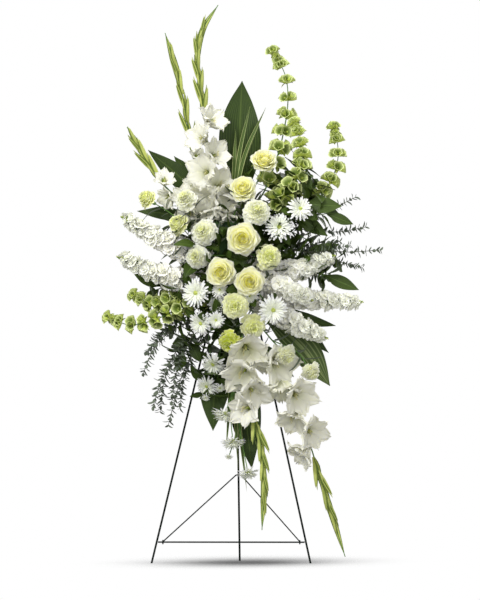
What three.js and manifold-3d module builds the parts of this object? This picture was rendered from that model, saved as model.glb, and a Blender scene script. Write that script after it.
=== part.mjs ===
// A standing funeral spray: a folding wire easel, a cage of floral foam hung on its front, and cut flowers
// and leaves whose stems stand in holes in the foam. Millimetres, +Z up, the front faces -Y.
import * as THREE from "three";
import Module from "manifold-3d";

const wasm = await Module();
wasm.setup();

// Easel
const EASEL_TOP = 904;
const FRONT_FOOT_X = 223;
const FRONT_FOOT_Y = -210;
const REAR_FOOT_Y = 200;
const PIVOT_Y = -20;
const PIVOT_HALF = 14;
const LEG_RADIUS = 2.8;
const BRACE_RADIUS = 1.8;
const CROSSBAR_Z = 59;
const BRACE_EYE_X = 192;
const BRACE_TOP_Z = 241;
const PLAY = 0.3;
const SLIVER = 0.3;

// Foam block and its cage
const FOAM_HALF_WIDTH = 55;
const FOAM_FRONT = -150;
const FOAM_BACK = -70;
const FOAM_BOTTOM = 735;
const FOAM_TOP = 955;
const HOLE_DEPTH = 22;
const STEM_RADIUS = 2.2;
const CAGE_WALL = 2.4;
const HOOK_X = 8;
const LUG_Y = -54;

// Where each stem stands, as the side of the foam and its two places on it, and where it goes.
// `at` is the middle of a bloom, `faces` the way it looks and `size` its width.
const ROSES = [
  { name: "rose_1", hole: ["top", 22, -110], heads: [{ at: [88, -128, 1128], faces: [0.2, -0.75, 0.65], size: 70 }] },
  { name: "rose_2", hole: ["top", 0, -138], heads: [{ at: [31, -170, 1050], faces: [-0.05, -0.9, 0.4], size: 72 }] },
  { name: "rose_3", hole: ["front", 14, 895], heads: [{ at: [34, -238, 909], faces: [0.05, -1, 0.05], size: 84 }] },
  { name: "rose_4", hole: ["front", -14, 820], heads: [{ at: [-28, -232, 815], faces: [-0.15, -1, -0.05], size: 78 }] },
  { name: "rose_5", hole: ["front", 14, 795], heads: [{ at: [54, -250, 789], faces: [0.1, -1, -0.1], size: 76 }] },
];

const CARNATIONS = [
  { name: "carnation_1", hole: ["front", -42, 920], heads: [{ at: [-77, -190, 927], faces: [-0.3, -0.9, 0.25], size: 68 }] },
  { name: "carnation_2", hole: ["top", 22, -138], heads: [{ at: [72, -205, 984], faces: [0.15, -0.9, 0.35], size: 68 }] },
  { name: "carnation_3", hole: ["front", 42, 870], heads: [{ at: [107, -215, 858], faces: [0.35, -0.9, 0.1], size: 64 }] },
  { name: "carnation_4", hole: ["front", 14, 770], heads: [{ at: [14, -235, 721], faces: [0, -1, -0.2], size: 66 }] },
  {
    name: "carnation_5",
    hole: ["bottom", 22, -138],
    heads: [
      { at: [62, -212, 662], faces: [0.2, -0.9, -0.35], size: 62 },
      { at: [-4, -198, 617], faces: [-0.1, -0.85, -0.5], size: 58 },
    ],
  },
  { name: "carnation_6", hole: ["front", -42, 895], heads: [{ at: [-97, -192, 857], faces: [-0.3, -0.9, 0], size: 62 }] },
  {
    name: "carnation_7",
    hole: ["top", -44, -138],
    heads: [
      { at: [-151, -165, 949], faces: [-0.75, -0.5, 0.45], size: 54 },
      { at: [-240, -138, 1019], faces: [-0.8, -0.3, 0.5], size: 42 },
      { at: [-128, -178, 1020], faces: [-0.35, -0.7, 0.6], size: 56 },
    ],
  },
  {
    name: "carnation_8",
    hole: ["bottom", 44, -138],
    heads: [
      { at: [153, -190, 583], faces: [0.6, -0.5, -0.6], size: 56 },
      { at: [223, -190, 536], faces: [0.5, -0.5, -0.7], size: 50 },
    ],
  },
];

const DAISIES = [
  {
    name: "daisy_spray_1",
    hole: ["front", -42, 820],
    heads: [
      { at: [-99, -202, 757], faces: [-0.35, -0.9, 0], size: 78 },
      { at: [-40, -192, 729], faces: [-0.1, -0.95, 0], size: 50 },
    ],
  },
  {
    name: "daisy_spray_2",
    hole: ["bottom", -44, -138],
    heads: [
      { at: [-86, -188, 672], faces: [-0.3, -0.9, -0.3], size: 66 },
      { at: [-43, -200, 681], faces: [0, -1, -0.2], size: 48 },
    ],
  },
  {
    name: "daisy_spray_3",
    hole: ["top", 44, -138],
    heads: [
      { at: [133, -182, 941], faces: [0.1, -0.9, 0.3], size: 76 },
      { at: [191, -168, 992], faces: [0.3, -0.85, 0.4], size: 68 },
    ],
  },
  { name: "daisy_spray_4", hole: ["front", 42, 795], heads: [{ at: [118, -218, 710], faces: [0.25, -0.9, -0.2], size: 80 }] },
  {
    name: "daisy_spray_5",
    hole: ["bottom", -22, -110],
    heads: [
      { at: [-53, -165, 557], faces: [-0.3, -0.7, -0.6], size: 68 },
      { at: [-71, -150, 495], faces: [-0.5, -0.5, -0.7], size: 54 },
      { at: [-34, -158, 490], faces: [0.2, -0.6, -0.7], size: 30 },
    ],
  },
  {
    name: "daisy_spray_6",
    hole: ["bottom", -22, -138],
    heads: [
      { at: [-19, -168, 415], faces: [-0.35, -0.2, -0.9], size: 70 },
      { at: [4, -186, 339], faces: [0.3, -0.75, 0.2], size: 62 },
      { at: [47, -196, 253], faces: [0.2, -0.3, -0.9], size: 42 },
    ],
  },
];

// A spike's path runs from near the foam to its tip
const GLADIOLI = [
  {
    name: "gladiolus_1",
    hole: ["top", -22, -82],
    path: [[-52, -100, 1015], [-68, -112, 1114], [-76, -112, 1212], [-91, -104, 1324], [-101, -94, 1421], [-86, -88, 1494], [-44, -80, 1561]],
    start: 0.14,
    florets: 5,
    buds: 9,
  },
  {
    name: "gladiolus_2",
    hole: ["top", -44, -82],
    path: [[-82, -66, 987], [-111, -52, 1113], [-133, -46, 1238], [-156, -44, 1350], [-195, -44, 1482]],
    start: 0.3,
    florets: 3,
    buds: 8,
  },
  {
    name: "gladiolus_3",
    hole: ["top", -44, -110],
    path: [[-59, -108, 954], [-122, -102, 996], [-192, -98, 1054], [-243, -94, 1127], [-299, -88, 1219]],
    start: 0.3,
    florets: 4,
    buds: 6,
  },
  {
    name: "gladiolus_4",
    hole: ["bottom", 0, -138],
    path: [[30, -148, 624], [42, -165, 555], [54, -182, 457], [80, -198, 345], [92, -208, 233], [87, -216, 93]],
    start: 0.24,
    florets: 4,
    buds: 7,
  },
  {
    name: "gladiolus_5",
    hole: ["bottom", 22, -110],
    path: [[82, -135, 596], [148, -150, 507], [190, -155, 415], [223, -150, 316], [254, -142, 213], [315, -125, 17]],
    start: 0.26,
    florets: 4,
    buds: 7,
  },
];

const BELLS = [
  {
    name: "bells_1",
    hole: ["top", 22, -82],
    path: [[79, -74, 1029], [120, -68, 1133], [140, -66, 1211], [151, -64, 1295], [143, -62, 1365], [106, -58, 1435]],
    whorls: 5,
    each: 3,
  },
  {
    name: "bells_2",
    hole: ["top", 44, -110],
    path: [[98, -112, 993], [154, -114, 1038], [188, -112, 1094], [193, -110, 1150], [184, -106, 1195], [170, -100, 1234]],
    whorls: 5,
    each: 3,
  },
  {
    name: "bells_3",
    hole: ["top", 44, -82],
    path: [[95, -70, 993], [184, -60, 1007], [255, -62, 1046], [286, -66, 1105], [292, -68, 1155], [280, -68, 1222]],
    whorls: 5,
    each: 3,
  },
  {
    name: "bells_4",
    hole: ["left", -115, 820],
    path: [[-78, -124, 736], [-147, -140, 714], [-212, -146, 683], [-287, -146, 666], [-349, -142, 688]],
    whorls: 5,
    each: 3,
  },
  {
    name: "bells_5",
    hole: ["left", -115, 845],
    path: [[-93, -116, 764], [-171, -126, 744], [-224, -128, 725], [-280, -126, 750]],
    whorls: 4,
    each: 3,
  },
];

const STOCKS = [
  {
    name: "stock_1",
    hole: ["left", -115, 895],
    path: [[-106, -128, 870], [-153, -138, 882], [-231, -142, 921], [-310, -138, 968]],
    florets: 7,
  },
  {
    name: "stock_2",
    hole: ["left", -115, 870],
    path: [[-92, -130, 797], [-142, -142, 789], [-231, -150, 820], [-321, -145, 856]],
    florets: 7,
  },
  {
    name: "stock_3",
    hole: ["right", -115, 845],
    path: [[83, -150, 804], [150, -188, 774], [226, -192, 737]],
    florets: 6,
  },
  {
    name: "stock_4",
    hole: ["right", -115, 870],
    path: [[82, -132, 826], [161, -142, 815], [285, -145, 860]],
    florets: 6,
  },
  {
    name: "stock_5",
    hole: ["right", -115, 820],
    path: [[82, -125, 770], [189, -132, 739], [363, -130, 731]],
    florets: 7,
  },
  {
    name: "stock_6",
    hole: ["right", -115, 795],
    path: [[82, -135, 731], [146, -162, 686], [266, -162, 630]],
    florets: 6,
  },
];

const EUCALYPTUS = [
  {
    name: "eucalyptus_1",
    hole: ["bottom", -44, -110],
    branches: [
      [[-89, -126, 694], [-153, -142, 660], [-203, -144, 624], [-226, -144, 588], [-251, -140, 529]],
      [[-89, -126, 694], [-125, -146, 638], [-175, -148, 565], [-203, -146, 504], [-223, -140, 436]],
    ],
    pairs: 4,
  },
  {
    name: "eucalyptus_2",
    hole: ["left", -92, 770],
    branches: [
      [[-80, -98, 651], [-122, -100, 573], [-150, -102, 506], [-183, -104, 382]],
    ],
    pairs: 6,
  },
  {
    name: "eucalyptus_3",
    hole: ["right", -92, 920],
    branches: [
      [[79, -86, 926], [158, -86, 954], [256, -86, 982], [343, -82, 1024]],
      [[79, -86, 926], [186, -88, 934], [284, -88, 926], [371, -84, 940]],
    ],
    pairs: 4,
  },
  {
    name: "eucalyptus_4",
    hole: ["right", -92, 895],
    branches: [
      [[80, -88, 889], [186, -88, 887], [312, -88, 870], [413, -84, 876]],
      [[80, -88, 889], [214, -90, 864], [298, -90, 842], [363, -86, 825]],
    ],
    pairs: 4,
  },
];

const BROAD_LEAVES = [
  {
    name: "aspidistra_1",
    hole: ["top", 0, -82],
    leaves: [
      { path: [[26, -76, 1001], [19, -66, 1113], [16, -56, 1225], [21, -42, 1348]], width: 118, faces: [0, -1, 0.2] },
    ],
  },
  {
    name: "aspidistra_2",
    hole: ["left", -92, 920],
    leaves: [
      { path: [[-62, -58, 936], [-126, -28, 1048], [-245, -14, 1154]], width: 48, faces: [-0.2, -0.9, 0.4] },
      { path: [[-62, -58, 936], [-98, -26, 1042], [-172, -12, 1137]], width: 44, faces: [-0.1, -0.9, 0.4] },
    ],
  },
  {
    name: "aspidistra_3",
    hole: ["left", -92, 895],
    leaves: [
      { path: [[-81, -85, 917], [-168, -82, 970], [-272, -76, 984]], width: 42, faces: [0, -0.9, 0.4] },
    ],
  },
  {
    name: "aspidistra_4",
    hole: ["bottom", 0, -82],
    leaves: [
      { path: [[9, -86, 609], [28, -112, 470], [55, -150, 263]], width: 78, faces: [0.1, -1, 0.1] },
      { path: [[9, -86, 609], [-48, -108, 498], [-56, -122, 369]], width: 60, faces: [-0.1, -1, 0.1] },
      { path: [[9, -86, 609], [109, -108, 573], [171, -114, 520]], width: 46, faces: [0.1, -1, 0.2] },
    ],
  },
  {
    name: "aspidistra_5",
    hole: ["right", -115, 770],
    leaves: [
      { path: [[89, -110, 674], [188, -114, 610], [272, -112, 495]], width: 84, faces: [0.1, -1, 0.2] },
    ],
  },
  {
    name: "aspidistra_6",
    hole: ["right", -92, 795],
    leaves: [
      { path: [[88, -86, 713], [186, -86, 657], [267, -84, 587]], width: 46, faces: [0, -1, 0.3] },
      { path: [[88, -86, 713], [186, -88, 685], [287, -86, 663]], width: 40, faces: [0, -1, 0.3] },
    ],
  },
];

const SALAL = [
  {
    name: "salal_1",
    hole: ["left", -92, 870],
    branches: [
      [[-94, -96, 814], [-161, -98, 783], [-228, -100, 760]],
    ],
    leaves: [
      { from: [-192, -100, 774], tip: [-279, -104, 808], width: 34, faces: [-0.1, -1, 0.3] },
      { from: [-211, -100, 766], tip: [-245, -108, 730], width: 30, faces: [0, -1, 0.2] },
      { from: [-161, -98, 783], tip: [-206, -92, 842], width: 32, faces: [0, -1, 0.3] },
    ],
  },
  {
    name: "salal_2",
    hole: ["left", -92, 795],
    branches: [
      [[-79, -110, 685], [-115, -120, 629], [-143, -122, 590]],
    ],
    leaves: [
      { from: [-115, -120, 629], tip: [-171, -116, 612], width: 34, faces: [-0.1, -1, 0.2] },
      { from: [-137, -122, 596], tip: [-157, -118, 534], width: 34, faces: [0, -1, 0.1] },
      { from: [-120, -121, 618], tip: [-92, -124, 562], width: 32, faces: [0, -1, 0.1] },
    ],
  },
  {
    name: "salal_3",
    hole: ["right", -115, 920],
    branches: [
      [[81, -114, 937], [146, -116, 977], [210, -118, 1016]],
      [[81, -112, 937], [160, -122, 876], [258, -124, 803]],
    ],
    leaves: [
      { from: [188, -118, 1005], tip: [306, -124, 999], width: 48, faces: [0.1, -1, 0.2] },
      { from: [205, -118, 1016], tip: [207, -114, 1106], width: 34, faces: [0, -1, 0.3] },
      { from: [160, -117, 985], tip: [266, -118, 915], width: 42, faces: [0, -1, 0.1] },
      { from: [250, -124, 809], tip: [354, -124, 764], width: 36, faces: [0, -1, 0.3] },
      { from: [188, -123, 854], tip: [300, -124, 893], width: 36, faces: [0, -1, 0.2] },
    ],
  },
];

const GRASSES = [
  {
    name: "grass_1",
    hole: ["top", 0, -110],
    tips: [[48, -84, 1287], [91, -88, 1276], [71, -86, 1228], [6, -84, 1217]],
    width: 11,
  },
  {
    name: "grass_2",
    hole: ["bottom", 0, -110],
    tips: [[17, -162, 260], [73, -162, 311], [-18, -146, 311], [42, -172, 199]],
    width: 12,
  },
];

const COLOURS = {
  wire: [0x16241c, 0.45, 0.6],
  cage: [0x1d4a2a, 0.6, 0],
  foam: [0x3f6b3a, 0.95, 0],
  rose: [0xf6ecae, 0.6, 0],
  carnation: [0xf0f0c4, 0.7, 0],
  petal: [0xf4f4ea, 0.65, 0],
  bell: [0x9dbd4a, 0.55, 0],
  broad_leaf: [0x1f4023, 0.45, 0],
  salal: [0x2f5a2c, 0.4, 0],
  eucalyptus: [0x7f9682, 0.7, 0],
  grass: [0x5f8a3c, 0.55, 0],
};

const UP = new THREE.Vector3(0, 0, 1);
const FRONT = new THREE.Vector3(0, -1, 0);

function vector(place) {
  return new THREE.Vector3(...place);
}

function curveThrough(places) {
  return new THREE.CatmullRomCurve3(places, false, "centripetal");
}

function solidFrom(points, faces) {
  return new wasm.Manifold(new wasm.Mesh({
    numProp: 3,
    vertProperties: new Float32Array(points.flatMap((point) => point.toArray())),
    triVerts: new Uint32Array(faces.flat()),
  }));
}

function join(solids) {
  return wasm.Manifold.union(solids);
}

// A closed skin over a start point, rings of equally many points and an end point.
// In a leaf the bands lean alternately, so that both of its faces are split alike.
function skin(start, rings, end, leaf = false) {
  const count = rings[0].length;
  const points = [start, ...rings.flat(), end];
  const last = points.length - 1;
  const index = (ring, k) => 1 + ring * count + (k % count);
  const faces = [];
  for (let k = 0; k < count; k += 1) {
    faces.push([0, index(0, k + 1), index(0, k)]);
    faces.push([last, index(rings.length - 1, k), index(rings.length - 1, k + 1)]);
    for (let ring = 0; ring < rings.length - 1; ring += 1) {
      const [a, b] = [index(ring, k), index(ring, k + 1)];
      const [d, c] = [index(ring + 1, k), index(ring + 1, k + 1)];
      if (leaf && k % 2 === 1) {
        faces.push([a, b, d], [b, c, d]);
      } else {
        faces.push([a, b, c], [a, c, d]);
      }
    }
  }
  return solidFrom(points, faces);
}

// Sideways and outward directions that go with a direction, the outward one nearest `facing`
function frameOn(at, along, facing) {
  const side = new THREE.Vector3().crossVectors(along, facing);
  if (side.length() < 0.05) {
    side.crossVectors(along, UP);
  }
  side.normalize();
  const out = new THREE.Vector3().crossVectors(side, along);
  return { at, along, side, out };
}

// Frames at the points of a line, each turned as little as can be from the one before
function framesOn(points) {
  const frames = [];
  points.forEach((at, k) => {
    const before = points[Math.max(0, k - 1)];
    const after = points[Math.min(points.length - 1, k + 1)];
    const along = after.clone().sub(before).normalize();
    if (k === 0) {
      frames.push(frameOn(at, along, FRONT));
      return;
    }
    const side = frames[k - 1].side.clone();
    side.addScaledVector(along, -side.dot(along)).normalize();
    frames.push({ at, along, side, out: new THREE.Vector3().crossVectors(side, along) });
  });
  return frames;
}

// A tube with few sides along a line of points, tapered from one radius to the other
function tube(points, radius, tipRadius, sides) {
  const loops = framesOn(points).map(({ at, side, out }, ring) => {
    const r = THREE.MathUtils.lerp(radius, tipRadius, ring / (points.length - 1));
    return Array.from({ length: sides }, (_, k) => {
      const angle = (k / sides) * 2 * Math.PI;
      return at.clone().addScaledVector(side, r * Math.cos(angle)).addScaledVector(out, -r * Math.sin(angle));
    });
  });
  return skin(points[0], loops, points[points.length - 1], true);
}

function rod(from, to, radius, sides = 8) {
  return tube([vector(from), vector(to)], radius, radius, sides);
}

// A leaf or petal: thick along its middle and sharp at its edges, `widths` wide at even steps along the
// curve, with its middle sunk by `fold` and its edges waved by `wave`
function blade(curve, facing, widths, thickness, fold = 0, wave = 0) {
  const rings = widths.map((width, k) => {
    const t = (k + 1) / (widths.length + 1);
    const { at, side, out } = frameOn(curve.getPointAt(t), curve.getTangentAt(t), facing);
    const ripple = wave * (k % 2 === 0 ? 1 : -1);
    const corner = (across, raise) => at.clone().addScaledVector(side, across).addScaledVector(out, raise);
    return [
      corner(width / 2, fold + ripple),
      corner(0, -thickness / 2),
      corner(-width / 2, fold - ripple),
      corner(0, thickness / 2),
    ];
  });
  return skin(curve.getPointAt(0), rings, curve.getPointAt(1), true);
}

// Turns a shape made along +Z so that it stands at `at` and looks along `direction`
function placed(at, direction, roll = 0) {
  const turn = new THREE.Quaternion().setFromUnitVectors(UP, direction.clone().normalize());
  turn.multiply(new THREE.Quaternion().setFromAxisAngle(UP, roll));
  return new THREE.Matrix4().compose(at, turn, new THREE.Vector3(1, 1, 1));
}

// A bloom raised as one skin from its base to its heart. Each ring has a radius and a height as shares of
// the bloom's half width; its petals reach that radius and `notch` draws in the points between them.
function bloom(matrix, half, points, base, rings, heart) {
  const loops = rings.map(([radius, height, petals = 0, notch = 0, lift = 0, turn = 0]) => (
    Array.from({ length: points }, (_, k) => {
      const angle = (k / points) * 2 * Math.PI;
      const tip = petals === 0 ? 1 : 0.5 + 0.5 * Math.cos(petals * angle + turn);
      const r = half * radius * (1 - notch * (1 - tip));
      const point = new THREE.Vector3(r * Math.cos(angle), r * Math.sin(angle), half * (height + lift * tip));
      return point.applyMatrix4(matrix);
    })
  ));
  const onAxis = (height) => new THREE.Vector3(0, 0, half * height).applyMatrix4(matrix);
  return skin(onAxis(base), loops, onAxis(heart));
}

// Side of the foam: the mouth of a hole and the way out of it
function holeAt([side, first, second]) {
  const mouths = {
    top: [[first, second, FOAM_TOP], [0, 0, 1]],
    bottom: [[first, second, FOAM_BOTTOM], [0, 0, -1]],
    front: [[first, FOAM_FRONT, second], [0, -1, 0]],
    left: [[-FOAM_HALF_WIDTH, first, second], [-1, 0, 0]],
    right: [[FOAM_HALF_WIDTH, first, second], [1, 0, 0]],
  };
  const [mouth, out] = mouths[side];
  return { mouth: vector(mouth), out: vector(out) };
}

// The line of a stem's middle: straight in its hole and for a little way out, then on through `places`
function stemLine(hole, places, steps) {
  const { mouth, out } = holeAt(hole);
  const inner = mouth.clone().addScaledVector(out, 0.6 - HOLE_DEPTH);
  const clear = mouth.clone().addScaledVector(out, 9);
  return [inner, ...curveThrough([clear, ...places]).getSpacedPoints(steps)];
}

function stem(line, tipRadius = 1.6) {
  return tube(line, STEM_RADIUS, tipRadius, 3);
}

// The line of a bloom's stem comes from the side of the foam to the bloom's back
function bloomLine(hole, back, direction) {
  const { mouth, out } = holeAt(hole);
  const reach = mouth.distanceTo(back);
  if (reach < 50) {
    return stemLine(hole, [back], 2);
  }
  const leaving = mouth.clone().addScaledVector(out, Math.min(26, 0.3 * reach));
  const nearing = back.clone().addScaledVector(direction, -0.28 * reach);
  return stemLine(hole, [leaving.lerp(nearing, 0.5), nearing, back], reach < 90 ? 3 : 4);
}

// A side stem that leaves the main one partway up and comes to a bloom's back
function forkLine(main, back, direction) {
  const start = main[main.length - 2].clone();
  const nearing = back.clone().addScaledVector(direction, -0.4 * start.distanceTo(back));
  return [start, ...curveThrough([start, nearing, back]).getSpacedPoints(3).slice(1)];
}

function roseBloom(at, direction, half) {
  return bloom(placed(at, direction), half, 15, -0.82, [
    [0.3, -0.7],
    [0.8, -0.3, 5, 0.1],
    [1.0, -0.05, 5, 0.2, 0.16],
    [0.78, -0.1, 5, 0.1],
    [0.84, 0.26, 5, 0.16, 0.12, Math.PI],
    [0.6, 0.08],
    [0.6, 0.42, 5, 0.16, 0.12],
    [0.38, 0.2],
    [0.38, 0.52, 3, 0.2, 0.1, Math.PI],
  ], 0.34);
}

function carnationBloom(at, direction, half) {
  return bloom(placed(at, direction), half, 12, -1.05, [
    [0.28, -0.4],
    [1.0, -0.2, 6, 0.16, 0.3],
    [0.5, -0.02],
    [0.82, 0.14, 6, 0.2, 0.24, Math.PI],
    [0.36, 0.16],
    [0.54, 0.36, 6, 0.24, 0.14],
  ], 0.3);
}

function daisyBloom(at, direction, half) {
  return bloom(placed(at, direction), half, 16, -0.34, [
    [1.0, -0.06, 8, 0.52, 0.16],
    [0.36, 0.02],
    [0.76, 0.2, 8, 0.42, 0.1, Math.PI],
    [0.27, 0.16],
  ], 0.3);
}

// Blooms on one forked stem, the first of them at its end
function bloomSpray({ hole, heads }, shape, backShare) {
  const blooms = heads.map(({ at, faces, size }) => {
    const direction = vector(faces).normalize();
    const middle = vector(at);
    return { middle, direction, half: size / 2, back: middle.clone().addScaledVector(direction, -backShare * size / 2) };
  });
  const main = bloomLine(hole, blooms[0].back, blooms[0].direction);
  const forks = blooms.slice(1).map(({ back, direction }) => stem(forkLine(main, back, direction), 1.4));
  return join([stem(main), ...forks, ...blooms.map(({ middle, direction, half }) => shape(middle, direction, half))]);
}

function makeRose(row) {
  return bloomSpray(row, roseBloom, 0.7);
}

function makeCarnation(row) {
  return bloomSpray(row, carnationBloom, 0.95);
}

function makeDaisies(row) {
  return bloomSpray(row, daisyBloom, 0.2);
}

// Runs up a spike's line: `place` gets each item's share of the way, point and direction out
function alongSpike(line, count, from, to, turn, rise, place) {
  const length = line.length - 1;
  return Array.from({ length: count }, (_, k) => {
    const share = count === 1 ? 0 : k / (count - 1);
    const reach = Math.min(length - 0.001, THREE.MathUtils.lerp(from, to, share) * length);
    const [low, high] = [line[Math.floor(reach)], line[Math.floor(reach) + 1]];
    const along = high.clone().sub(low).normalize();
    const { at, side, out } = frameOn(low.clone().lerp(high, reach % 1), along, FRONT);
    const angle = turn(k);
    const away = out.multiplyScalar(Math.cos(angle)).addScaledVector(side, Math.sin(angle));
    const lean = rise(share);
    const direction = away.multiplyScalar(Math.cos(lean)).addScaledVector(along, Math.sin(lean));
    return place(share, at, direction.normalize());
  });
}

// The line of a spike's stem, its part in the foam left out
function spikeLine(row, steps) {
  const line = stemLine(row.hole, row.path.map(vector), steps);
  return { line, open: line.slice(1) };
}

// Lines of a branched stem: the first stands in the foam and the others fork off it
function branchLines({ hole, branches }, steps) {
  const main = stemLine(hole, branches[0].map(vector), steps);
  const forks = branches.slice(1).map((path) => (
    curveThrough([main[2], ...path.slice(1).map(vector)]).getSpacedPoints(steps)
  ));
  return [main, ...forks];
}

function trumpet(at, direction, length, half) {
  const matrix = placed(at.clone().addScaledVector(direction, length), direction);
  return bloom(matrix, half, 12, -length / half, [[1.0, 0, 6, 0.34, 0.16]], -0.5);
}

function bud(at, direction, length, half) {
  const middle = at.clone().addScaledVector(direction, 0.45 * length);
  const matrix = placed(middle, direction);
  return bloom(matrix, half, 4, -0.45 * length / half, [[1, 0]], 0.55 * length / half);
}

// Open florets below and closed buds above, in two ranks that look to the front
function makeGladiolus(row) {
  const { line, open } = spikeLine(row, 7);
  const ranks = (k) => (k % 2 === 0 ? 0.75 : -0.75);
  const share = row.florets / (row.florets + row.buds * 0.55);
  const opened = THREE.MathUtils.lerp(row.start, 1, 0.7 * share);
  const florets = alongSpike(open, row.florets, row.start, opened, ranks, () => 0.5, (s, at, direction) => (
    trumpet(at, direction, 52 - 8 * s, 38 - 8 * s)
  ));
  const buds = alongSpike(
    open, row.buds, opened + 0.08, 0.985, ranks, (s) => 0.8 + 0.4 * s,
    (s, at, direction) => bud(at, direction, 46 - 22 * s, 9 - 4.5 * s),
  );
  return join([stem(line, 1.4), ...florets, ...buds]);
}

function bell(at, direction, length, half) {
  const matrix = placed(at.clone().addScaledVector(direction, length), direction);
  return bloom(matrix, half, 4, -length / half, [[1, 0]], -0.55 * length / half);
}

// Green cups in whorls, each whorl turned between those next to it
function makeBells(row) {
  const { line, open } = spikeLine(row, 7);
  const cups = Array.from({ length: row.whorls }, (_, whorl) => {
    const share = whorl / (row.whorls - 1);
    const t = THREE.MathUtils.lerp(0.34, 0.97, share);
    const scale = 1 - 0.5 * share;
    const turn = (k) => (2 * k + (whorl % 2)) * (Math.PI / row.each) + 0.3;
    return alongSpike(open, row.each, t, t, turn, () => 0.55, (s, at, direction) => (
      bell(at, direction, 19 * scale, 10.5 * scale)
    ));
  });
  return join([stem(line, 1.5), ...cups.flat()]);
}

function stockFloret(at, direction, length, half) {
  const matrix = placed(at.clone().addScaledVector(direction, length), direction);
  return bloom(matrix, half, 8, -length / half, [[1, -0.1, 4, 0.3, 0.25]], 0.12);
}

// Ruffled double florets round a slim core, smaller towards the tip
function makeStock(row) {
  const { line, open } = spikeLine(row, 4);
  const golden = (k) => k * 2.4;
  const florets = alongSpike(open, row.florets, 0.3, 0.9, golden, (s) => 0.15 + 0.6 * s, (s, at, direction) => (
    stockFloret(at, direction, 20 - 6 * s, 17 - 8 * s)
  ));
  const buds = alongSpike(open, 3, 0.94, 0.98, golden, () => 1, (s, at, direction) => bud(at, direction, 14, 4));
  return join([stem(line, 2.2), ...florets, ...buds]);
}

// Lance leaves in crossed pairs on each branch
function makeEucalyptus(row) {
  const turn = (k) => (k % 2 === 0 ? 0 : Math.PI) + (Math.floor(k / 2) % 2 === 0 ? 1.57 : 0.5);
  return join(branchLines(row, 5).flatMap((line) => {
    const leaves = alongSpike(line, 2 * row.pairs, 0.4, 0.99, turn, () => 0.65, (s, at, direction) => {
      const length = 46 - 20 * s;
      const end = at.clone().addScaledVector(direction, length);
      const bowed = at.clone().addScaledVector(direction, length / 2).addScaledVector(FRONT, 3);
      return blade(curveThrough([at, bowed, end]), FRONT, [14 - 5 * s], 2);
    });
    return [stem(line, 1.2), ...leaves];
  }));
}

// Broad leaves with a channelled middle and waved edges; the first stands on the stalk and the others fork off it
function makeBroadLeaves({ hole, leaves }) {
  const first = vector(leaves[0].path[0]);
  const line = stemLine(hole, [first, first.clone().lerp(vector(leaves[0].path[1]), 0.1)], 3);
  const root = line[line.length - 2];
  return join([stem(line), ...leaves.map(({ path, width, faces }) => {
    const curve = curveThrough([root, ...path.slice(1).map(vector)]);
    const widths = [0.4, 0.8, 1, 0.9, 0.52].map((share) => share * width);
    return blade(curve, vector(faces), widths, 2.6, 0.06 * width, 0.02 * width);
  })]);
}

function nearestOn(lines, place) {
  const points = lines.flatMap((line) => line.slice(1).map((end, k) => (
    new THREE.Line3(line[k], end).closestPointToPoint(place, true, new THREE.Vector3())
  )));
  return points.reduce((best, point) => (point.distanceTo(place) < best.distanceTo(place) ? point : best));
}

// Oval leaves on short branches, each growing from the place on them that is nearest its `from`
function makeSalal({ hole, branches, leaves }) {
  const lines = branchLines({ hole, branches }, 4);
  return join([
    ...lines.map((line) => stem(line, 1.4)),
    ...leaves.map(({ from, tip, width, faces }) => {
      const [start, end] = [nearestOn(lines, vector(from)), vector(tip)];
      const middle = start.clone().lerp(end, 0.5).addScaledVector(FRONT, 4);
      const widths = [0.55, 1, 0.72].map((share) => share * width);
      return blade(curveThrough([start, middle, end]), vector(faces), widths, 2, 0.08 * width);
    }),
  ]);
}

// Narrow blades in a tuft from one hole
function makeGrass({ hole, tips, width }) {
  const line = stemLine(hole, [holeAt(hole).mouth.addScaledVector(holeAt(hole).out, 16)], 1);
  const root = line[1];
  return join([
    stem(line, 2.4),
    ...tips.map((tip) => {
      const end = vector(tip);
      const rise = root.clone().addScaledVector(holeAt(hole).out, 0.5 * root.distanceTo(end));
      const middle = rise.lerp(root.clone().lerp(end, 0.55), 0.6);
      return blade(curveThrough([root, middle, end]), FRONT, [0.7 * width, width, 0.6 * width], 1.8, 1);
    }),
  ]);
}

function allStems() {
  return [
    ...ROSES, ...CARNATIONS, ...DAISIES, ...GLADIOLI, ...BELLS, ...STOCKS,
    ...EUCALYPTUS, ...BROAD_LEAVES, ...SALAL, ...GRASSES,
  ];
}

function block(low, high) {
  const size = vector(high).sub(vector(low));
  return wasm.Manifold.cube(size.toArray(), false).translate(low);
}

// Foam brick with one plain hole for each stem
function makeFoam() {
  const brick = block([-FOAM_HALF_WIDTH, FOAM_FRONT, FOAM_BOTTOM], [FOAM_HALF_WIDTH, FOAM_BACK, FOAM_TOP]);
  const holes = allStems().map(({ hole }) => {
    const { mouth, out } = holeAt(hole);
    const inner = mouth.clone().addScaledVector(out, -HOLE_DEPTH);
    const outer = mouth.clone().addScaledVector(out, 1);
    return rod(inner.toArray(), outer.toArray(), STEM_RADIUS + 2 * PLAY, 3);
  });
  return brick.subtract(join(holes));
}

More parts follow.
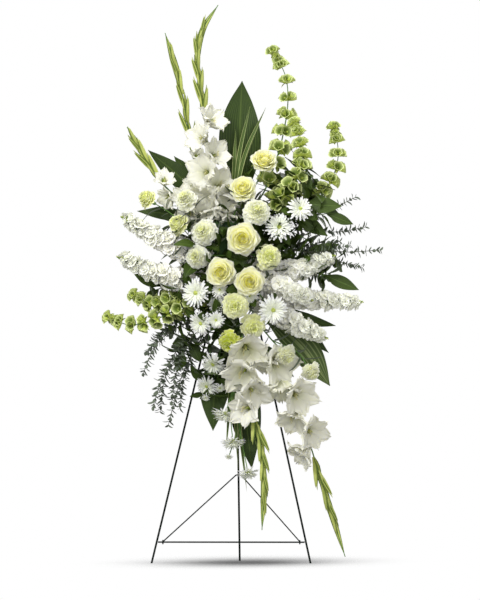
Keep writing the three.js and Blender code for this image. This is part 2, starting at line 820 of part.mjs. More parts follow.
// Plastic cage: a back plate with a rim round the foam, two straps over its front, a rest that leans on
// the legs and a lug that drops over the easel's hook
function makeCage() {
  const inside = FOAM_HALF_WIDTH + PLAY;
  const outside = inside + CAGE_WALL;
  const back = FOAM_BACK + PLAY;
  const plate = block(
    [-outside, back, FOAM_BOTTOM - PLAY - CAGE_WALL],
    [outside, back + CAGE_WALL, FOAM_TOP + PLAY + CAGE_WALL],
  );
  const rim = block(
    [-outside, back - 5, FOAM_BOTTOM - PLAY - CAGE_WALL],
    [outside, back + 0.5, FOAM_TOP + PLAY + CAGE_WALL],
  ).subtract(block([-inside, back - 6, FOAM_BOTTOM - PLAY], [inside, back + 1, FOAM_TOP + PLAY]));
  const straps = [744, 941].map((z) => (
    block([-outside, FOAM_FRONT - PLAY - CAGE_WALL, z], [outside, back + 0.5, z + 6])
      .subtract(block([-inside, FOAM_FRONT - PLAY, z - 1], [inside, back + 1, z + 7]))
  ));
  const rest = block([-58, back + 1, 740], [58, legY(740) - LEG_RADIUS - 2 * PLAY, 748]);
  const lug = block([HOOK_X - 8, back + 1, 886], [HOOK_X + 8, LUG_Y + 8, 900])
    .subtract(rod([HOOK_X, LUG_Y, 880], [HOOK_X, LUG_Y, 906], LEG_RADIUS + 0.5));
  return join([plate, rim, ...straps, rest, lug]);
}

// Depth of the plane of the front legs at a height
function legY(z) {
  return THREE.MathUtils.lerp(FRONT_FOOT_Y, PIVOT_Y, z / EASEL_TOP);
}

function legX(z) {
  return THREE.MathUtils.lerp(FRONT_FOOT_X, PIVOT_HALF, z / EASEL_TOP);
}

function rearLegY(z) {
  return THREE.MathUtils.lerp(REAR_FOOT_Y, PIVOT_Y, z / EASEL_TOP);
}

// Legs run on below the floor and are cut level with it, which leaves a flat foot
function cutAtFloor(solid) {
  return solid.subtract(block([-600, -600, -200], [600, 600, 0]));
}

function makeFrontLeg(sign) {
  const line = (z) => [sign * legX(z), legY(z), z];
  return cutAtFloor(rod(line(-20), line(EASEL_TOP + 2), LEG_RADIUS, 10));
}

// Eye of a wire bent round a rod that runs along X
function eye(x, y, z, inner, wire) {
  const outer = rod([x - wire, y, z], [x + wire, y, z], inner + 2 * wire, 8);
  return outer.subtract(rod([x - 2 * wire, y, z], [x + 2 * wire, y, z], inner, 8));
}

function makeRearLeg() {
  const inner = LEG_RADIUS + PLAY;
  const top = EASEL_TOP - inner - LEG_RADIUS;
  const leg = cutAtFloor(rod([0, rearLegY(-20), -20], [0, rearLegY(top), top], LEG_RADIUS, 10));
  return join([leg, eye(0, PIVOT_Y, EASEL_TOP, inner, LEG_RADIUS)]);
}

function makePivotPin() {
  const reach = PIVOT_HALF - LEG_RADIUS - 2 * PLAY;
  const pin = rod([-reach, PIVOT_Y, EASEL_TOP], [reach, PIVOT_Y, EASEL_TOP], LEG_RADIUS, 12);
  const bend = [[0, 0], [0, 22], [-8, 30], [-26, 30], [LUG_Y - PIVOT_Y, 22], [LUG_Y - PIVOT_Y, -16]];
  const path = bend.map(([y, z]) => new THREE.Vector3(HOOK_X, PIVOT_Y + y, EASEL_TOP + z));
  return join([pin, tube(path, LEG_RADIUS - 0.6, LEG_RADIUS - 0.6, 6)]);
}

function makeCrossbar() {
  const reach = legX(CROSSBAR_Z) - LEG_RADIUS - 3 * PLAY;
  const y = legY(CROSSBAR_Z);
  return rod([-reach, y, CROSSBAR_Z], [reach, y, CROSSBAR_Z], LEG_RADIUS - 0.6, 10);
}

// Half of the V of thin wire: an arm from its eye on the crossbar up to behind the rear leg
function makeBraceArm(sign) {
  const inner = LEG_RADIUS - 0.6 + PLAY;
  const [y, z] = [legY(CROSSBAR_Z), CROSSBAR_Z];
  const start = [sign * BRACE_EYE_X, y + inner + BRACE_RADIUS, z + 1.2];
  const end = [sign * 7, braceBendY(), BRACE_TOP_Z];
  return join([rod(start, end, BRACE_RADIUS, 6), eye(sign * BRACE_EYE_X, y, z, inner, BRACE_RADIUS)]);
}

// Depth of the V's bend, just behind the rear leg
function braceBendY() {
  return rearLegY(BRACE_TOP_Z) + LEG_RADIUS + BRACE_RADIUS + 0.6;
}

function makeBraceLeft() {
  const reach = 7 - BRACE_RADIUS - PLAY;
  const bend = rod([-7, braceBendY(), BRACE_TOP_Z], [reach, braceBendY(), BRACE_TOP_Z], BRACE_RADIUS, 6);
  return join([makeBraceArm(-1), bend]);
}

function toMesh(name, colour, solid) {
  const { numProp, vertProperties, triVerts } = solid.simplify(SLIVER).getMesh();
  const positions = new Float32Array((vertProperties.length / numProp) * 3);
  for (let k = 0; k < positions.length / 3; k += 1) {
    positions.set(vertProperties.subarray(k * numProp, k * numProp + 3), k * 3);
  }
  const geometry = new THREE.BufferGeometry();
  geometry.setAttribute("position", new THREE.BufferAttribute(positions, 3));
  geometry.setIndex([...triVerts]);
  const [color, roughness, metalness] = COLOURS[colour];
  const mesh = new THREE.Mesh(geometry, new THREE.MeshStandardMaterial({ color, roughness, metalness }));
  mesh.name = name;
  return mesh;
}

// Every row of a table made into a mesh of one colour
function meshesOf(rows, colour, make) {
  return rows.map((row) => toMesh(row.name, colour, make(row)));
}

// Stands the object on z = 0 with the middle of its box above the origin
function centred(group) {
  const box = new THREE.Box3().setFromObject(group);
  const middle = box.getCenter(new THREE.Vector3());
  group.children.forEach((mesh) => mesh.geometry.translate(-middle.x, -middle.y, -box.min.z));
  return group;
}

const spray = new THREE.Group();
spray.name = "standing_spray";
spray.add(
  toMesh("easel_left_leg", "wire", makeFrontLeg(-1)),
  toMesh("easel_right_leg", "wire", makeFrontLeg(1)),
  toMesh("easel_rear_leg", "wire", makeRearLeg()),
  toMesh("easel_pin_and_hook", "wire", makePivotPin()),
  toMesh("easel_crossbar", "wire", makeCrossbar()),
  toMesh("easel_brace_left", "wire", makeBraceLeft()),
  toMesh("easel_brace_right", "wire", makeBraceArm(1)),
  toMesh("foam_cage", "cage", makeCage()),
  toMesh("floral_foam", "foam", makeFoam()),
  ...meshesOf(ROSES, "rose", makeRose),
  ...meshesOf(CARNATIONS, "carnation", makeCarnation),
  ...meshesOf(DAISIES, "petal", makeDaisies),
  ...meshesOf(GLADIOLI, "petal", makeGladiolus),
  ...meshesOf(STOCKS, "petal", makeStock),
  ...meshesOf(BELLS, "bell", makeBells),
  ...meshesOf(EUCALYPTUS, "eucalyptus", makeEucalyptus),
  ...meshesOf(BROAD_LEAVES, "broad_leaf", makeBroadLeaves),
  ...meshesOf(SALAL, "salal", makeSalal),
  ...meshesOf(GRASSES, "grass", makeGrass),
);

export default centred(spray);
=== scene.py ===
"""Standing spray of white and yellow flowers on a folding wire easel."""
import math

import bpy
import numpy as np
from bpy.props import FloatProperty, FloatVectorProperty, IntProperty, PointerProperty
from mathutils import Matrix, Vector


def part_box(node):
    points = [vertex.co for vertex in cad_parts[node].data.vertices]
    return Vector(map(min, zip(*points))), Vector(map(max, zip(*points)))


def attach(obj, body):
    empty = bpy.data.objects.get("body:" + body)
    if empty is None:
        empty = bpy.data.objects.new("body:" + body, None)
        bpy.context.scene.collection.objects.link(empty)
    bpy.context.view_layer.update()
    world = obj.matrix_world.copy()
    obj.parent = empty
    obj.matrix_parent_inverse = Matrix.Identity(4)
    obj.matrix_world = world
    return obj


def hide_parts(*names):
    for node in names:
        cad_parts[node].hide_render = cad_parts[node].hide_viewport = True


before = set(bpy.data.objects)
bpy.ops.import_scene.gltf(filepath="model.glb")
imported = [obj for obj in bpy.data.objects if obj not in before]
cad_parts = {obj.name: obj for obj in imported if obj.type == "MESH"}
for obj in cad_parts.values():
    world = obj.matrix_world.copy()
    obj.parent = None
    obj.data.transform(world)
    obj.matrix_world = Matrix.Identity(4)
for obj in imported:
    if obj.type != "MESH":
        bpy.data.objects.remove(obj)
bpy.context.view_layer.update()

bl_info = {
    "name": "Standing Flower Spray",
    "version": (1, 0, 0),
    "blender": (4, 5, 0),
    "location": "View3D > Sidebar > Spray",
    "description": "Dresses the packed standing spray with petals, leaves, stems and an easel",
    "category": "Object",
}

FLOWERS_BODY = "front_frame_and_flowers"
MM = 0.001
FRONT = np.array((0.0, -1.0, 0.0))
UP = np.array((0.0, 0.0, 1.0))
# From one leaf or petal to the next in a spiral
GOLDEN_TURN = 2.4

# Foam brick and its stem holes, in the easel's own millimetres, as in the part's source
FOAM_HALF_WIDTH = 55
FOAM_FRONT = -150
FOAM_BACK = -70
FOAM_BOTTOM = 735
FOAM_TOP = 955
HOLE_DEPTH = 22
# A stem stops this far above its hole's end, and runs straight for this far out of its mouth
STEM_GAP = 0.6
STRAIGHT_OUT = 9

# Side stems that start lower than this are bare, as in the photo, and the rear leg folds in behind them
BARE_BELOW = 520
# A blade's rim turns by more than this, so its face and its back are shaded apart
SHARP = math.radians(80)
# The frame has materials of its own, named like some of these finishes
OWN = "spray "

# The camera looks at this place, in the easel's millimetres, from this many metres away
LOOK_AT = (12.6, 0, 733.7)
CAMERA_DISTANCE = 6
# What the world's light gives the flowers; the camera sees it white
WORLD_LIGHT = 0.48
# Place, target, size and share of the key lamp's power
LAMPS = {
    "key": ((-3.0, -4.8, 4.6), (0, 0, 0.8), 2.4, 1.0),
    "top": ((0.6, -0.6, 11.2), (0, 0, 0), 5.0, 2.4),
    "fill": ((1.0, -3.6, 1.2), (0, 0, 0.8), 1.8, 0.11),
    "back": ((1.6, 3.0, 2.2), (0, 0, 0.9), 1.6, 0.125),
}
# Rings of the floor in metres, the dark grey of a shadow painted under the easel, the floor's grey further
# out and where it fades; painted shadow and fade are longer from front to back than sideways by 1 over the
# stretch
FLOOR_RINGS = (0.2, 0.9, 1.6)
FLOOR_SIDES = 96
FLOOR_PAINTED_SHADOW_AND_GREY = (0.09, 0.62)
FLOOR_FADE = (0.04, 0.5)
FLOOR_STRETCH = 0.34

FOAM_LOW, FOAM_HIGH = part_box("floral_foam")
# From the easel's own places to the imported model's: the foam's middle is at x = 0 and its back at FOAM_BACK
EASEL_SHIFT = np.array(((FOAM_LOW.x + FOAM_HIGH.x) / 2, FOAM_HIGH.y - FOAM_BACK * MM, 0.0))

# Widths at even steps from base to tip, in parts of the widest
OUTLINES = {
    "sepal": (0.8, 1, 0.7, 0.4, 0.1),
    "carnation petal": (0.12, 0.28, 0.6, 0.95, 1.0),
    "daisy ray": (0.35, 0.8, 1.0, 0.95, 0.5),
    "gladiolus petal": (0.2, 0.42, 0.8, 1.0, 0.8, 0.3),
    "stock petal": (0.3, 0.75, 1.0, 0.85),
    "outer sheath": (0.7, 1, 0.9, 0.6, 0.08),
    "inner sheath": (0.7, 1, 0.9, 0.6, 0.1),
    "tip sheath": (0.75, 1.0, 0.95, 0.62, 0.0),
    "bell leaf": (0.2, 0.9, 1, 0.7, 0.2),
    "stalked leaf": (0.2, 0.8, 1, 0.7, 0.08),
    "carnation leaf": (1, 1, 0.9, 0.6, 0.1),
    "stock leaf": (0.3, 0.7, 1, 0.8, 0.15),
    "eucalyptus leaf": (0.3, 0.85, 1, 0.9, 0.35),
    "broad leaf": (0.05, 0.42, 0.82, 1.0, 0.9, 0.54, 0.0),
    "oval leaf": (0.04, 0.3, 0.85, 1.0, 0.88, 0.5, 0.0),
    "grass blade": (0.35, 0.8, 1.0, 0.75, 0.0),
}
# Radius and height of what is turned on the lathe, in parts of the bloom's radius
ROSE_HIP = ((0, -1.0), (0.1, -0.98), (0.2, -0.88), (0.27, -0.74), (0.2, -0.6), (0, -0.6))
ROSE_CORE = (
    (0, -0.66), (0.25, -0.64), (0.5, -0.32), (0.56, -0.1), (0.48, 0.0), (0.4, 0.06), (0.34, 0.11),
    (0.27, 0.16), (0.14, 0.24), (0, 0.27),
)
CARNATION_CUP = ((0, -1.2), (0.14, -1.18), (0.2, -1.0), (0.22, -0.7), (0.3, -0.45), (0.24, -0.4), (0, -0.42))
CARNATION_CORE = ((0, -0.6), (0.3, -0.5), (0.52, -0.1), (0.48, 0.22), (0.3, 0.42), (0, 0.5))
DAISY_DOME = ((0, -0.3), (0.1, -0.28), (0.18, -0.12), (0.19, 0.02), (0.14, 0.12), (0, 0.17))
DAISY_FLORET = ((0, 0), (0.022, 0.0), (0.03, 0.06), (0, 0.09))
# The same in millimetres
GLADIOLUS_BUD = ((0, 0), (2.4, 1), (4.0, 14), (4.5, 28), (3.6, 48), (1.5, 64), (0, 70))
BELL_CUP = (
    (0, 0), (2.6, 0.6), (5.4, 5.5), (7.4, 11.5), (10.4, 17.5), (11.4, 18.2), (9.6, 17), (6.4, 11),
    (4.2, 6), (0, 2.8),
)
BELL_LIPS = ((0, 2), (1.2, 3), (1.3, 6), (2.2, 9), (1.2, 9.5), (0, 7))
STOCK_CUP = ((0, -12), (1.4, -11), (2.2, -3), (3.2, 0), (0, 1))
STOCK_BUD = ((0, 0), (1.8, 1), (3.0, 6), (2.2, 11), (0, 13))
CARNATION_PETALS = 52
DAISY_RAYS = 62
DAISY_FLORETS = 64
BELL_TIP_CUPS = 20
STOCK_BUDS = 9
EUCALYPTUS_LEAF_WIDTH = 11


# A stem's hole is the side of the foam and its two places on it. A bloom is its middle, the way it looks
# and its width. A path runs from near the foam to the tip.
ROSES = {
    "rose_1": (("top", 22, -110), [((88, -128, 1128), (0.2, -0.75, 0.65), 70)]),
    "rose_2": (("top", 0, -138), [((31, -170, 1050), (-0.05, -0.9, 0.4), 72)]),
    "rose_3": (("front", 14, 895), [((34, -238, 909), (0.05, -1, 0.05), 84)]),
    "rose_4": (("front", -14, 820), [((-28, -232, 815), (-0.15, -1, 0.02), 78)]),
    "rose_5": (("front", 14, 795), [((54, -250, 789), (0.1, -1, 0), 76)]),
}
CARNATIONS = {
    "carnation_1": (("front", -42, 920), [((-77, -190, 927), (-0.3, -0.9, 0.25), 68)]),
    "carnation_2": (("top", 22, -138), [((72, -205, 984), (0.15, -0.9, 0.35), 68)]),
    "carnation_3": (("front", 42, 870), [
        ((107, -215, 858), (0.35, -0.9, 0.1), 64, "yellow_carnation_petal"),
    ]),
    "carnation_4": (("front", 14, 770), [((14, -235, 721), (0, -1, -0.2), 66, "yellow_carnation_petal")]),
    "carnation_5": (("bottom", 22, -138), [
        ((62, -212, 662), (0.2, -0.9, -0.35), 62, "yellow_carnation_petal"),
        ((-4, -198, 617), (-0.1, -0.85, -0.5), 58, "lime_carnation_petal"),
    ]),
    "carnation_6": (("front", -42, 895), [((-97, -192, 857), (-0.3, -0.9, 0), 62)]),
    "carnation_7": (("top", -44, -138), [
        ((-151, -165, 949), (-0.75, -0.5, 0.45), 54, "yellow_carnation_petal"),
        ((-240, -138, 1019), (-0.8, -0.3, 0.5), 50, "yellow_carnation_petal"),
        ((-128, -178, 1020), (-0.35, -0.7, 0.6), 56),
    ]),
    "carnation_8": (("bottom", 44, -138), [
        ((153, -190, 583), (0.6, -0.5, -0.6), 56),
        ((223, -190, 536), (0.5, -0.5, -0.7), 50),
    ]),
}
DAISIES = {
    "daisy_spray_1": (("front", -42, 820), [
        ((-99, -202, 757), (-0.35, -0.9, 0), 78),
        ((-40, -192, 729), (-0.1, -0.95, 0), 50),
        ((-32, -205, 766), (-0.1, -0.95, 0.2), 44),
    ]),
    "daisy_spray_2": (("bottom", -44, -138), [
        ((-86, -188, 672), (-0.3, -0.9, -0.3), 66),
        ((-43, -200, 681), (0, -1, -0.2), 48),
    ]),
    "daisy_spray_3": (("top", 44, -138), [
        ((133, -182, 941), (0.1, -0.9, 0.3), 76),
        ((191, -168, 992), (0.3, -0.85, 0.4), 68),
    ]),
    "daisy_spray_4": (("front", 42, 795), [
        ((118, -218, 710), (0.25, -0.9, -0.2), 80),
        ((52, -208, 750), (0.1, -0.95, -0.1), 48),
    ]),
    "daisy_spray_5": (("bottom", -22, -110), [
        ((-53, -165, 557), (-0.3, -0.7, -0.6), 68),
        ((-71, -150, 495), (-0.4, -0.7, -0.5), 60),
        ((-34, -158, 490), (0.2, -0.6, -0.7), 30),
        ((-75, -152, 463), (-0.2, -0.6, -0.8), 24),
    ]),
    "daisy_spray_6": (("bottom", -22, -138), [
        ((-19, -168, 415), (-0.25, -0.25, -0.95), 74),
        ((4, -186, 339), (0.1, -0.25, -0.95), 66),
        ((47, -196, 253), (0.2, -0.35, -0.9), 56),
        ((-8, -180, 298), (-0.2, -0.5, -0.8), 22),
    ]),
}
# After the path: the share of the way up where the open florets begin, how many there are, how many buds, the
# florets' size, how many more droop at the foot, how far they turn round the stem and how far apart their two
# ranks are
GLADIOLI = {
    "gladiolus_1": (("top", -22, -82), [
        (-52, -100, 1015), (-68, -112, 1114), (-76, -112, 1212), (-91, -104, 1324), (-101, -94, 1421),
        (-86, -88, 1494), (-44, -80, 1561),
    ], 0.0, 7, 8, 1.12, 4, 0.2, 0.75),
    "gladiolus_2": (("top", -44, -82), [
        (-82, -66, 987), (-111, -52, 1113), (-133, -46, 1238), (-156, -44, 1350), (-195, -44, 1482),
    ], 0.05, 3, 7, 0.75, 0, 0.0, 0.75),
    "gladiolus_3": (("top", -44, -110), [
        (-59, -108, 954), (-122, -102, 996), (-192, -98, 1054), (-243, -94, 1127), (-299, -88, 1219),
    ], 0.08, 5, 5, 0.82, 0, 0.0, 0.75),
    "gladiolus_4": (("bottom", 0, -138), [
        (30, -148, 624), (42, -165, 555), (54, -182, 457), (80, -198, 345), (92, -208, 233), (87, -216, 93),
    ], 0.18, 4, 8, 1.26, 0, 0.05, -0.45),
    "gladiolus_5": (("bottom", 22, -110), [
        (82, -135, 596), (148, -150, 507), (190, -155, 415), (223, -150, 316), (254, -142, 213),
        (315, -125, 17),
    ], 0.16, 7, 5, 1.2, 0, 0.3, 0.75),
}
BELLS = {
    "bells_1": (("top", 22, -82), [
        (79, -74, 1029), (120, -68, 1133), (140, -66, 1211), (151, -64, 1295), (143, -62, 1365),
        (106, -58, 1435),
    ]),
    "bells_2": (("top", 44, -110), [
        (98, -112, 993), (154, -114, 1038), (188, -112, 1094), (193, -110, 1150), (184, -106, 1195),
        (170, -100, 1234),
    ]),
    "bells_3": (("top", 44, -82), [
        (95, -70, 993), (184, -60, 1007), (255, -62, 1046), (286, -66, 1105), (292, -68, 1155),
        (280, -68, 1222),
    ]),
    "bells_4": (("left", -115, 820), [
        (-78, -124, 736), (-147, -140, 714), (-212, -146, 683), (-287, -146, 666), (-349, -142, 688),
    ]),
    "bells_5": (("left", -115, 845), [
        (-93, -116, 764), (-171, -126, 744), (-224, -128, 725), (-280, -126, 750),
    ]),
}
STOCKS = {
    "stock_1": (("left", -115, 895), [
        (-106, -128, 870), (-153, -138, 882), (-231, -142, 921), (-310, -138, 968),
    ]),
    "stock_2": (("left", -115, 870), [
        (-92, -130, 797), (-142, -142, 789), (-231, -150, 820), (-321, -145, 856),
    ]),
    "stock_3": (("right", -115, 845), [(83, -150, 804), (150, -188, 774), (226, -192, 737)]),
    "stock_4": (("right", -115, 870), [(82, -132, 826), (161, -142, 815), (285, -145, 860)]),
    "stock_5": (("right", -115, 820), [(82, -125, 770), (189, -132, 739), (363, -130, 731)]),
    "stock_6": (("right", -115, 795), [(82, -135, 731), (146, -162, 686), (266, -162, 630)]),
}
# Each twig's places, the first from near the foam and the others from where they fork off it, then how many
# pairs of leaves a twig has and a leaf's length
EUCALYPTUS = {
    "eucalyptus_1": (("bottom", -44, -110), [
        [(-89, -126, 694), (-153, -142, 660), (-203, -144, 624), (-226, -144, 588), (-251, -140, 529)],
        [(-125, -146, 638), (-175, -148, 565), (-203, -146, 504), (-223, -140, 436)],
        [(-110, -150, 640), (-150, -160, 560), (-170, -160, 450)],
        [(-150, -130, 680), (-200, -130, 640), (-240, -130, 590)],
    ], 30, 21),
    "eucalyptus_2": (("left", -92, 770), [
        [(-80, -98, 651), (-122, -100, 573), (-150, -102, 506), (-183, -104, 382)],
        [(-112, -90, 590), (-140, -90, 520), (-150, -90, 430)],
        [(-140, -110, 600), (-190, -110, 520), (-205, -110, 420)],
    ], 29, 21),
    "eucalyptus_3": (("right", -92, 920), [
        [(79, -86, 926), (158, -86, 954), (256, -86, 982), (343, -82, 1024)],
        [(186, -88, 934), (284, -88, 926), (371, -84, 940)],
        [(140, -110, 900), (220, -120, 890), (300, -120, 900)],
    ], 26, 18),
    "eucalyptus_4": (("right", -92, 895), [
        [(80, -88, 889), (186, -88, 887), (312, -88, 870), (413, -84, 876)],
        [(214, -90, 864), (298, -90, 842), (363, -86, 825)],
        [(150, -130, 880), (230, -140, 870), (330, -130, 890)],
    ], 26, 18),
}
# The place where the leaves part, then each leaf's path, its width and the way its face looks
BROAD_LEAVES = {
    "aspidistra_1": (("top", 0, -82), (26, -76, 1001), [
        ([(19, -66, 1113), (16, -56, 1225), (21, -42, 1348)], 118, (0, -1, 0.2)),
    ]),
    "aspidistra_2": (("left", -92, 920), (-62, -58, 936), [
        ([(-126, -28, 1048), (-245, -14, 1154)], 62, (-0.2, -0.9, 0.4)),
        ([(-98, -26, 1042), (-172, -12, 1137)], 58, (-0.1, -0.9, 0.4)),
    ]),
    "aspidistra_3": (("left", -92, 895), (-81, -85, 917), [
        ([(-168, -82, 970), (-272, -76, 984)], 42, (0, -0.9, 0.4)),
    ]),
    "aspidistra_4": (("bottom", 0, -82), (9, -86, 609), [
        ([(28, -112, 470), (55, -150, 263)], 90, (0.1, -1, 0.1)),
        ([(-48, -108, 498), (-56, -122, 369)], 86, (-0.1, -1, 0.1)),
        ([(109, -108, 573), (171, -114, 520)], 46, (0.1, -1, 0.2)),
    ]),
    "aspidistra_5": (("right", -115, 770), (89, -110, 674), [
        ([(188, -114, 610), (272, -112, 495)], 84, (0.1, -1, 0.2), "striped_leaf"),
    ]),
    "aspidistra_6": (("right", -92, 795), (88, -86, 713), [
        ([(186, -86, 657), (267, -84, 587)], 46, (0, -1, 0.3)),
        ([(186, -88, 685), (287, -86, 663)], 40, (0, -1, 0.3)),
    ]),
}
# Twigs like the eucalyptus's, then single oval leaves, each the place it grows from, its tip, its width and
# the way its face looks
SALAL = {
    "salal_1": (("left", -92, 870), [
        [(-94, -96, 814), (-161, -98, 783), (-228, -100, 760)],
        [(-128, -128, 850), (-168, -140, 880)],
        [(-120, -150, 800), (-150, -168, 760)],
        [(-92, -150, 850), (-88, -178, 890)],
        [(-100, -120, 880), (-150, -120, 950)],
        [(-60, -166, 860), (0, -174, 860)],
        [(-50, -164, 800), (10, -172, 770)],
    ], [
        ((-192, -100, 774), (-279, -104, 808), 34, (-0.1, -1, 0.3)),
        ((-211, -100, 766), (-245, -108, 730), 30, (0, -1, 0.2)),
        ((-161, -98, 783), (-206, -92, 842), 32, (0, -1, 0.3)),
    ]),
    "salal_2": (("left", -92, 795), [
        [(-79, -110, 685), (-115, -120, 629), (-143, -122, 590)],
        [(-50, -150, 690), (-10, -172, 700)],
        [(-40, -140, 640), (10, -160, 610)],
        [(-66, -120, 600), (-50, -130, 540)],
        [(-130, -130, 690), (-170, -140, 660)],
    ], [
        ((-115, -120, 629), (-171, -116, 612), 34, (-0.1, -1, 0.2)),
        ((-137, -122, 596), (-157, -118, 534), 34, (0, -1, 0.1)),
        ((-120, -121, 618), (-92, -124, 562), 32, (0, -1, 0.1)),
    ]),
    "salal_3": (("right", -115, 920), [
        [(81, -114, 937), (146, -116, 977), (210, -118, 1016)],
        [(160, -122, 876), (258, -124, 803)],
        [(110, -136, 915), (150, -156, 880)],
        [(60, -136, 950), (20, -154, 960)],
        [(120, -110, 990), (150, -112, 1060)],
        [(50, -105, 1000), (20, -110, 1060)],
        [(100, -160, 860), (120, -180, 800)],
        [(50, -164, 930), (-30, -172, 930)],
        [(70, -164, 880), (50, -174, 830)],
        [(180, -118, 920), (230, -120, 890)],
        [(180, -100, 880), (290, -100, 848)],
        [(170, -95, 830), (262, -95, 796)],
        [(180, -92, 1000), (235, -90, 1062)],
        [(150, -90, 1050), (190, -88, 1120)],
        [(180, -112, 962), (262, -118, 978)],
    ], [
        ((188, -118, 1005), (306, -124, 999), 48, (0.1, -1, 0.2)),
        ((205, -118, 1016), (207, -114, 1106), 34, (0, -1, 0.3)),
        ((160, -117, 985), (266, -118, 915), 42, (0, -1, 0.1)),
        ((250, -124, 809), (354, -124, 764), 36, (0, -1, 0.3)),
        ((188, -123, 854), (300, -124, 893), 36, (0, -1, 0.2)),
        ((262, -118, 978), (338, -120, 948), 30, (0, -1, 0.3)),
    ]),
}
# The tips of a tuft's blades and their width
GRASSES = {
    "grass_1": (("top", 0, -110), [(48, -84, 1287), (91, -88, 1276), (71, -86, 1228), (6, -84, 1217)], 11),
    "grass_2": (("bottom", 0, -110), [
        (17, -162, 260), (73, -162, 311), (-18, -146, 311), (42, -172, 199),
    ], 12),
}


# Colours, places and lines


def srgb(red, green, blue):
    """A colour as it is seen, 0 to 255, turned to the linear values that Blender mixes"""
    return tuple(
        (c / 255 / 12.92 if c <= 10 else ((c / 255 + 0.055) / 1.055) ** 2.4) for c in (red, green, blue)
    )


def spot(place):
    """A place, or a list of them, in the easel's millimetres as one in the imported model's metres"""
    return np.array(place, float) * MM + EASEL_SHIFT


def unit(vectors):
    vectors = np.asarray(vectors, float)
    return vectors / np.maximum(np.linalg.norm(vectors, axis=-1, keepdims=True), 1e-12)


def curve_through(places, steps):
    """Evenly spaced points on a smooth curve through the places"""
    places = np.array(places, float)
    padded = np.vstack([2 * places[0] - places[1], places, 2 * places[-1] - places[-2]])
    gaps = np.sqrt(np.linalg.norm(np.diff(padded, axis=0), axis=1))
    t = np.linspace(0, 1, 24)[:, None]
    dense = [places[:1]]
    for k in range(len(places) - 1):
        p0, p1, p2, p3 = padded[k:k + 4]
        d0, d1, d2 = gaps[k:k + 3]
        m1 = d1 * ((p1 - p0) / d0 - (p2 - p0) / (d0 + d1) + (p2 - p1) / d1)
        m2 = d1 * ((p2 - p1) / d1 - (p3 - p1) / (d1 + d2) + (p3 - p2) / d2)
        bend = p1 + m1 * t + (3 * (p2 - p1) - 2 * m1 - m2) * t ** 2 + (2 * (p1 - p2) + m1 + m2) * t ** 3
        dense.append(bend[1:])
    dense = np.vstack(dense)
    reach = np.concatenate([[0], np.cumsum(np.linalg.norm(np.diff(dense, axis=0), axis=1))])
    wanted = np.linspace(0, reach[-1], steps + 1)
    return np.stack([np.interp(wanted, reach, dense[:, axis]) for axis in range(3)], axis=1)


def hole_at(hole):
    """Mouth of a hole in the foam, the way out of it, and where the stem ends in it"""
    side, first, second = hole
    mouth, out = {
        "top": ((first, second, FOAM_TOP), (0, 0, 1)),
        "bottom": ((first, second, FOAM_BOTTOM), (0, 0, -1)),
        "front": ((first, FOAM_FRONT, second), (0, -1, 0)),
        "left": ((-FOAM_HALF_WIDTH, first, second), (-1, 0, 0)),
        "right": ((FOAM_HALF_WIDTH, first, second), (1, 0, 0)),
    }[side]
    mouth, out = spot(mouth), np.array(out, float)
    return mouth, out, mouth + out * (STEM_GAP - HOLE_DEPTH) * MM


def stem_line(hole, places, steps):
    """A stem's middle: straight in its hole and for a little way out, then on through the places"""
    mouth, out, inner = hole_at(hole)
    return np.vstack([inner, curve_through([mouth + out * STRAIGHT_OUT * MM, *places], steps)])


def bloom_line(hole, back, direction, steps=14):
    """A stem from the foam to a bloom's back, and the place near its end where others fork off"""
    mouth, out, _ = hole_at(hole)
    reach = np.linalg.norm(mouth - back)
    if reach < 50 * MM:
        line = stem_line(hole, [back], steps)
        return line, line[len(line) // 2]
    leaving = mouth + out * min(26 * MM, 0.3 * reach)
    nearing = back - direction * 0.28 * reach
    places = [(leaving + nearing) / 2, nearing, back]
    coarse = stem_line(hole, places, 3 if reach < 90 * MM else 4)
    return stem_line(hole, places, steps), coarse[-2]


def forked_stem(hole, branches, steps, finish, radii, side_radii):
    """Lines and tubes of a forked stem. `steps` are those of the first branch, of the coarser line that
    places the fork, and of the other branches."""
    first = spot(branches[0])
    line = stem_line(hole, first, steps[0])
    fork = stem_line(hole, first, steps[1])[2]
    sides = [curve_through([fork, *spot(path)], steps[2]) for path in branches[1:]]
    return [line[1:], *sides], [tubes([line], finish, *radii), tubes(sides, finish, *side_radii)]


# Meshes as arrays


def read(things, name, per=1, kind=np.float32):
    """One property of all of a mesh's points, corners or faces"""
    values = np.zeros(len(things) * per, kind)
    things.foreach_get(name, values)
    return values


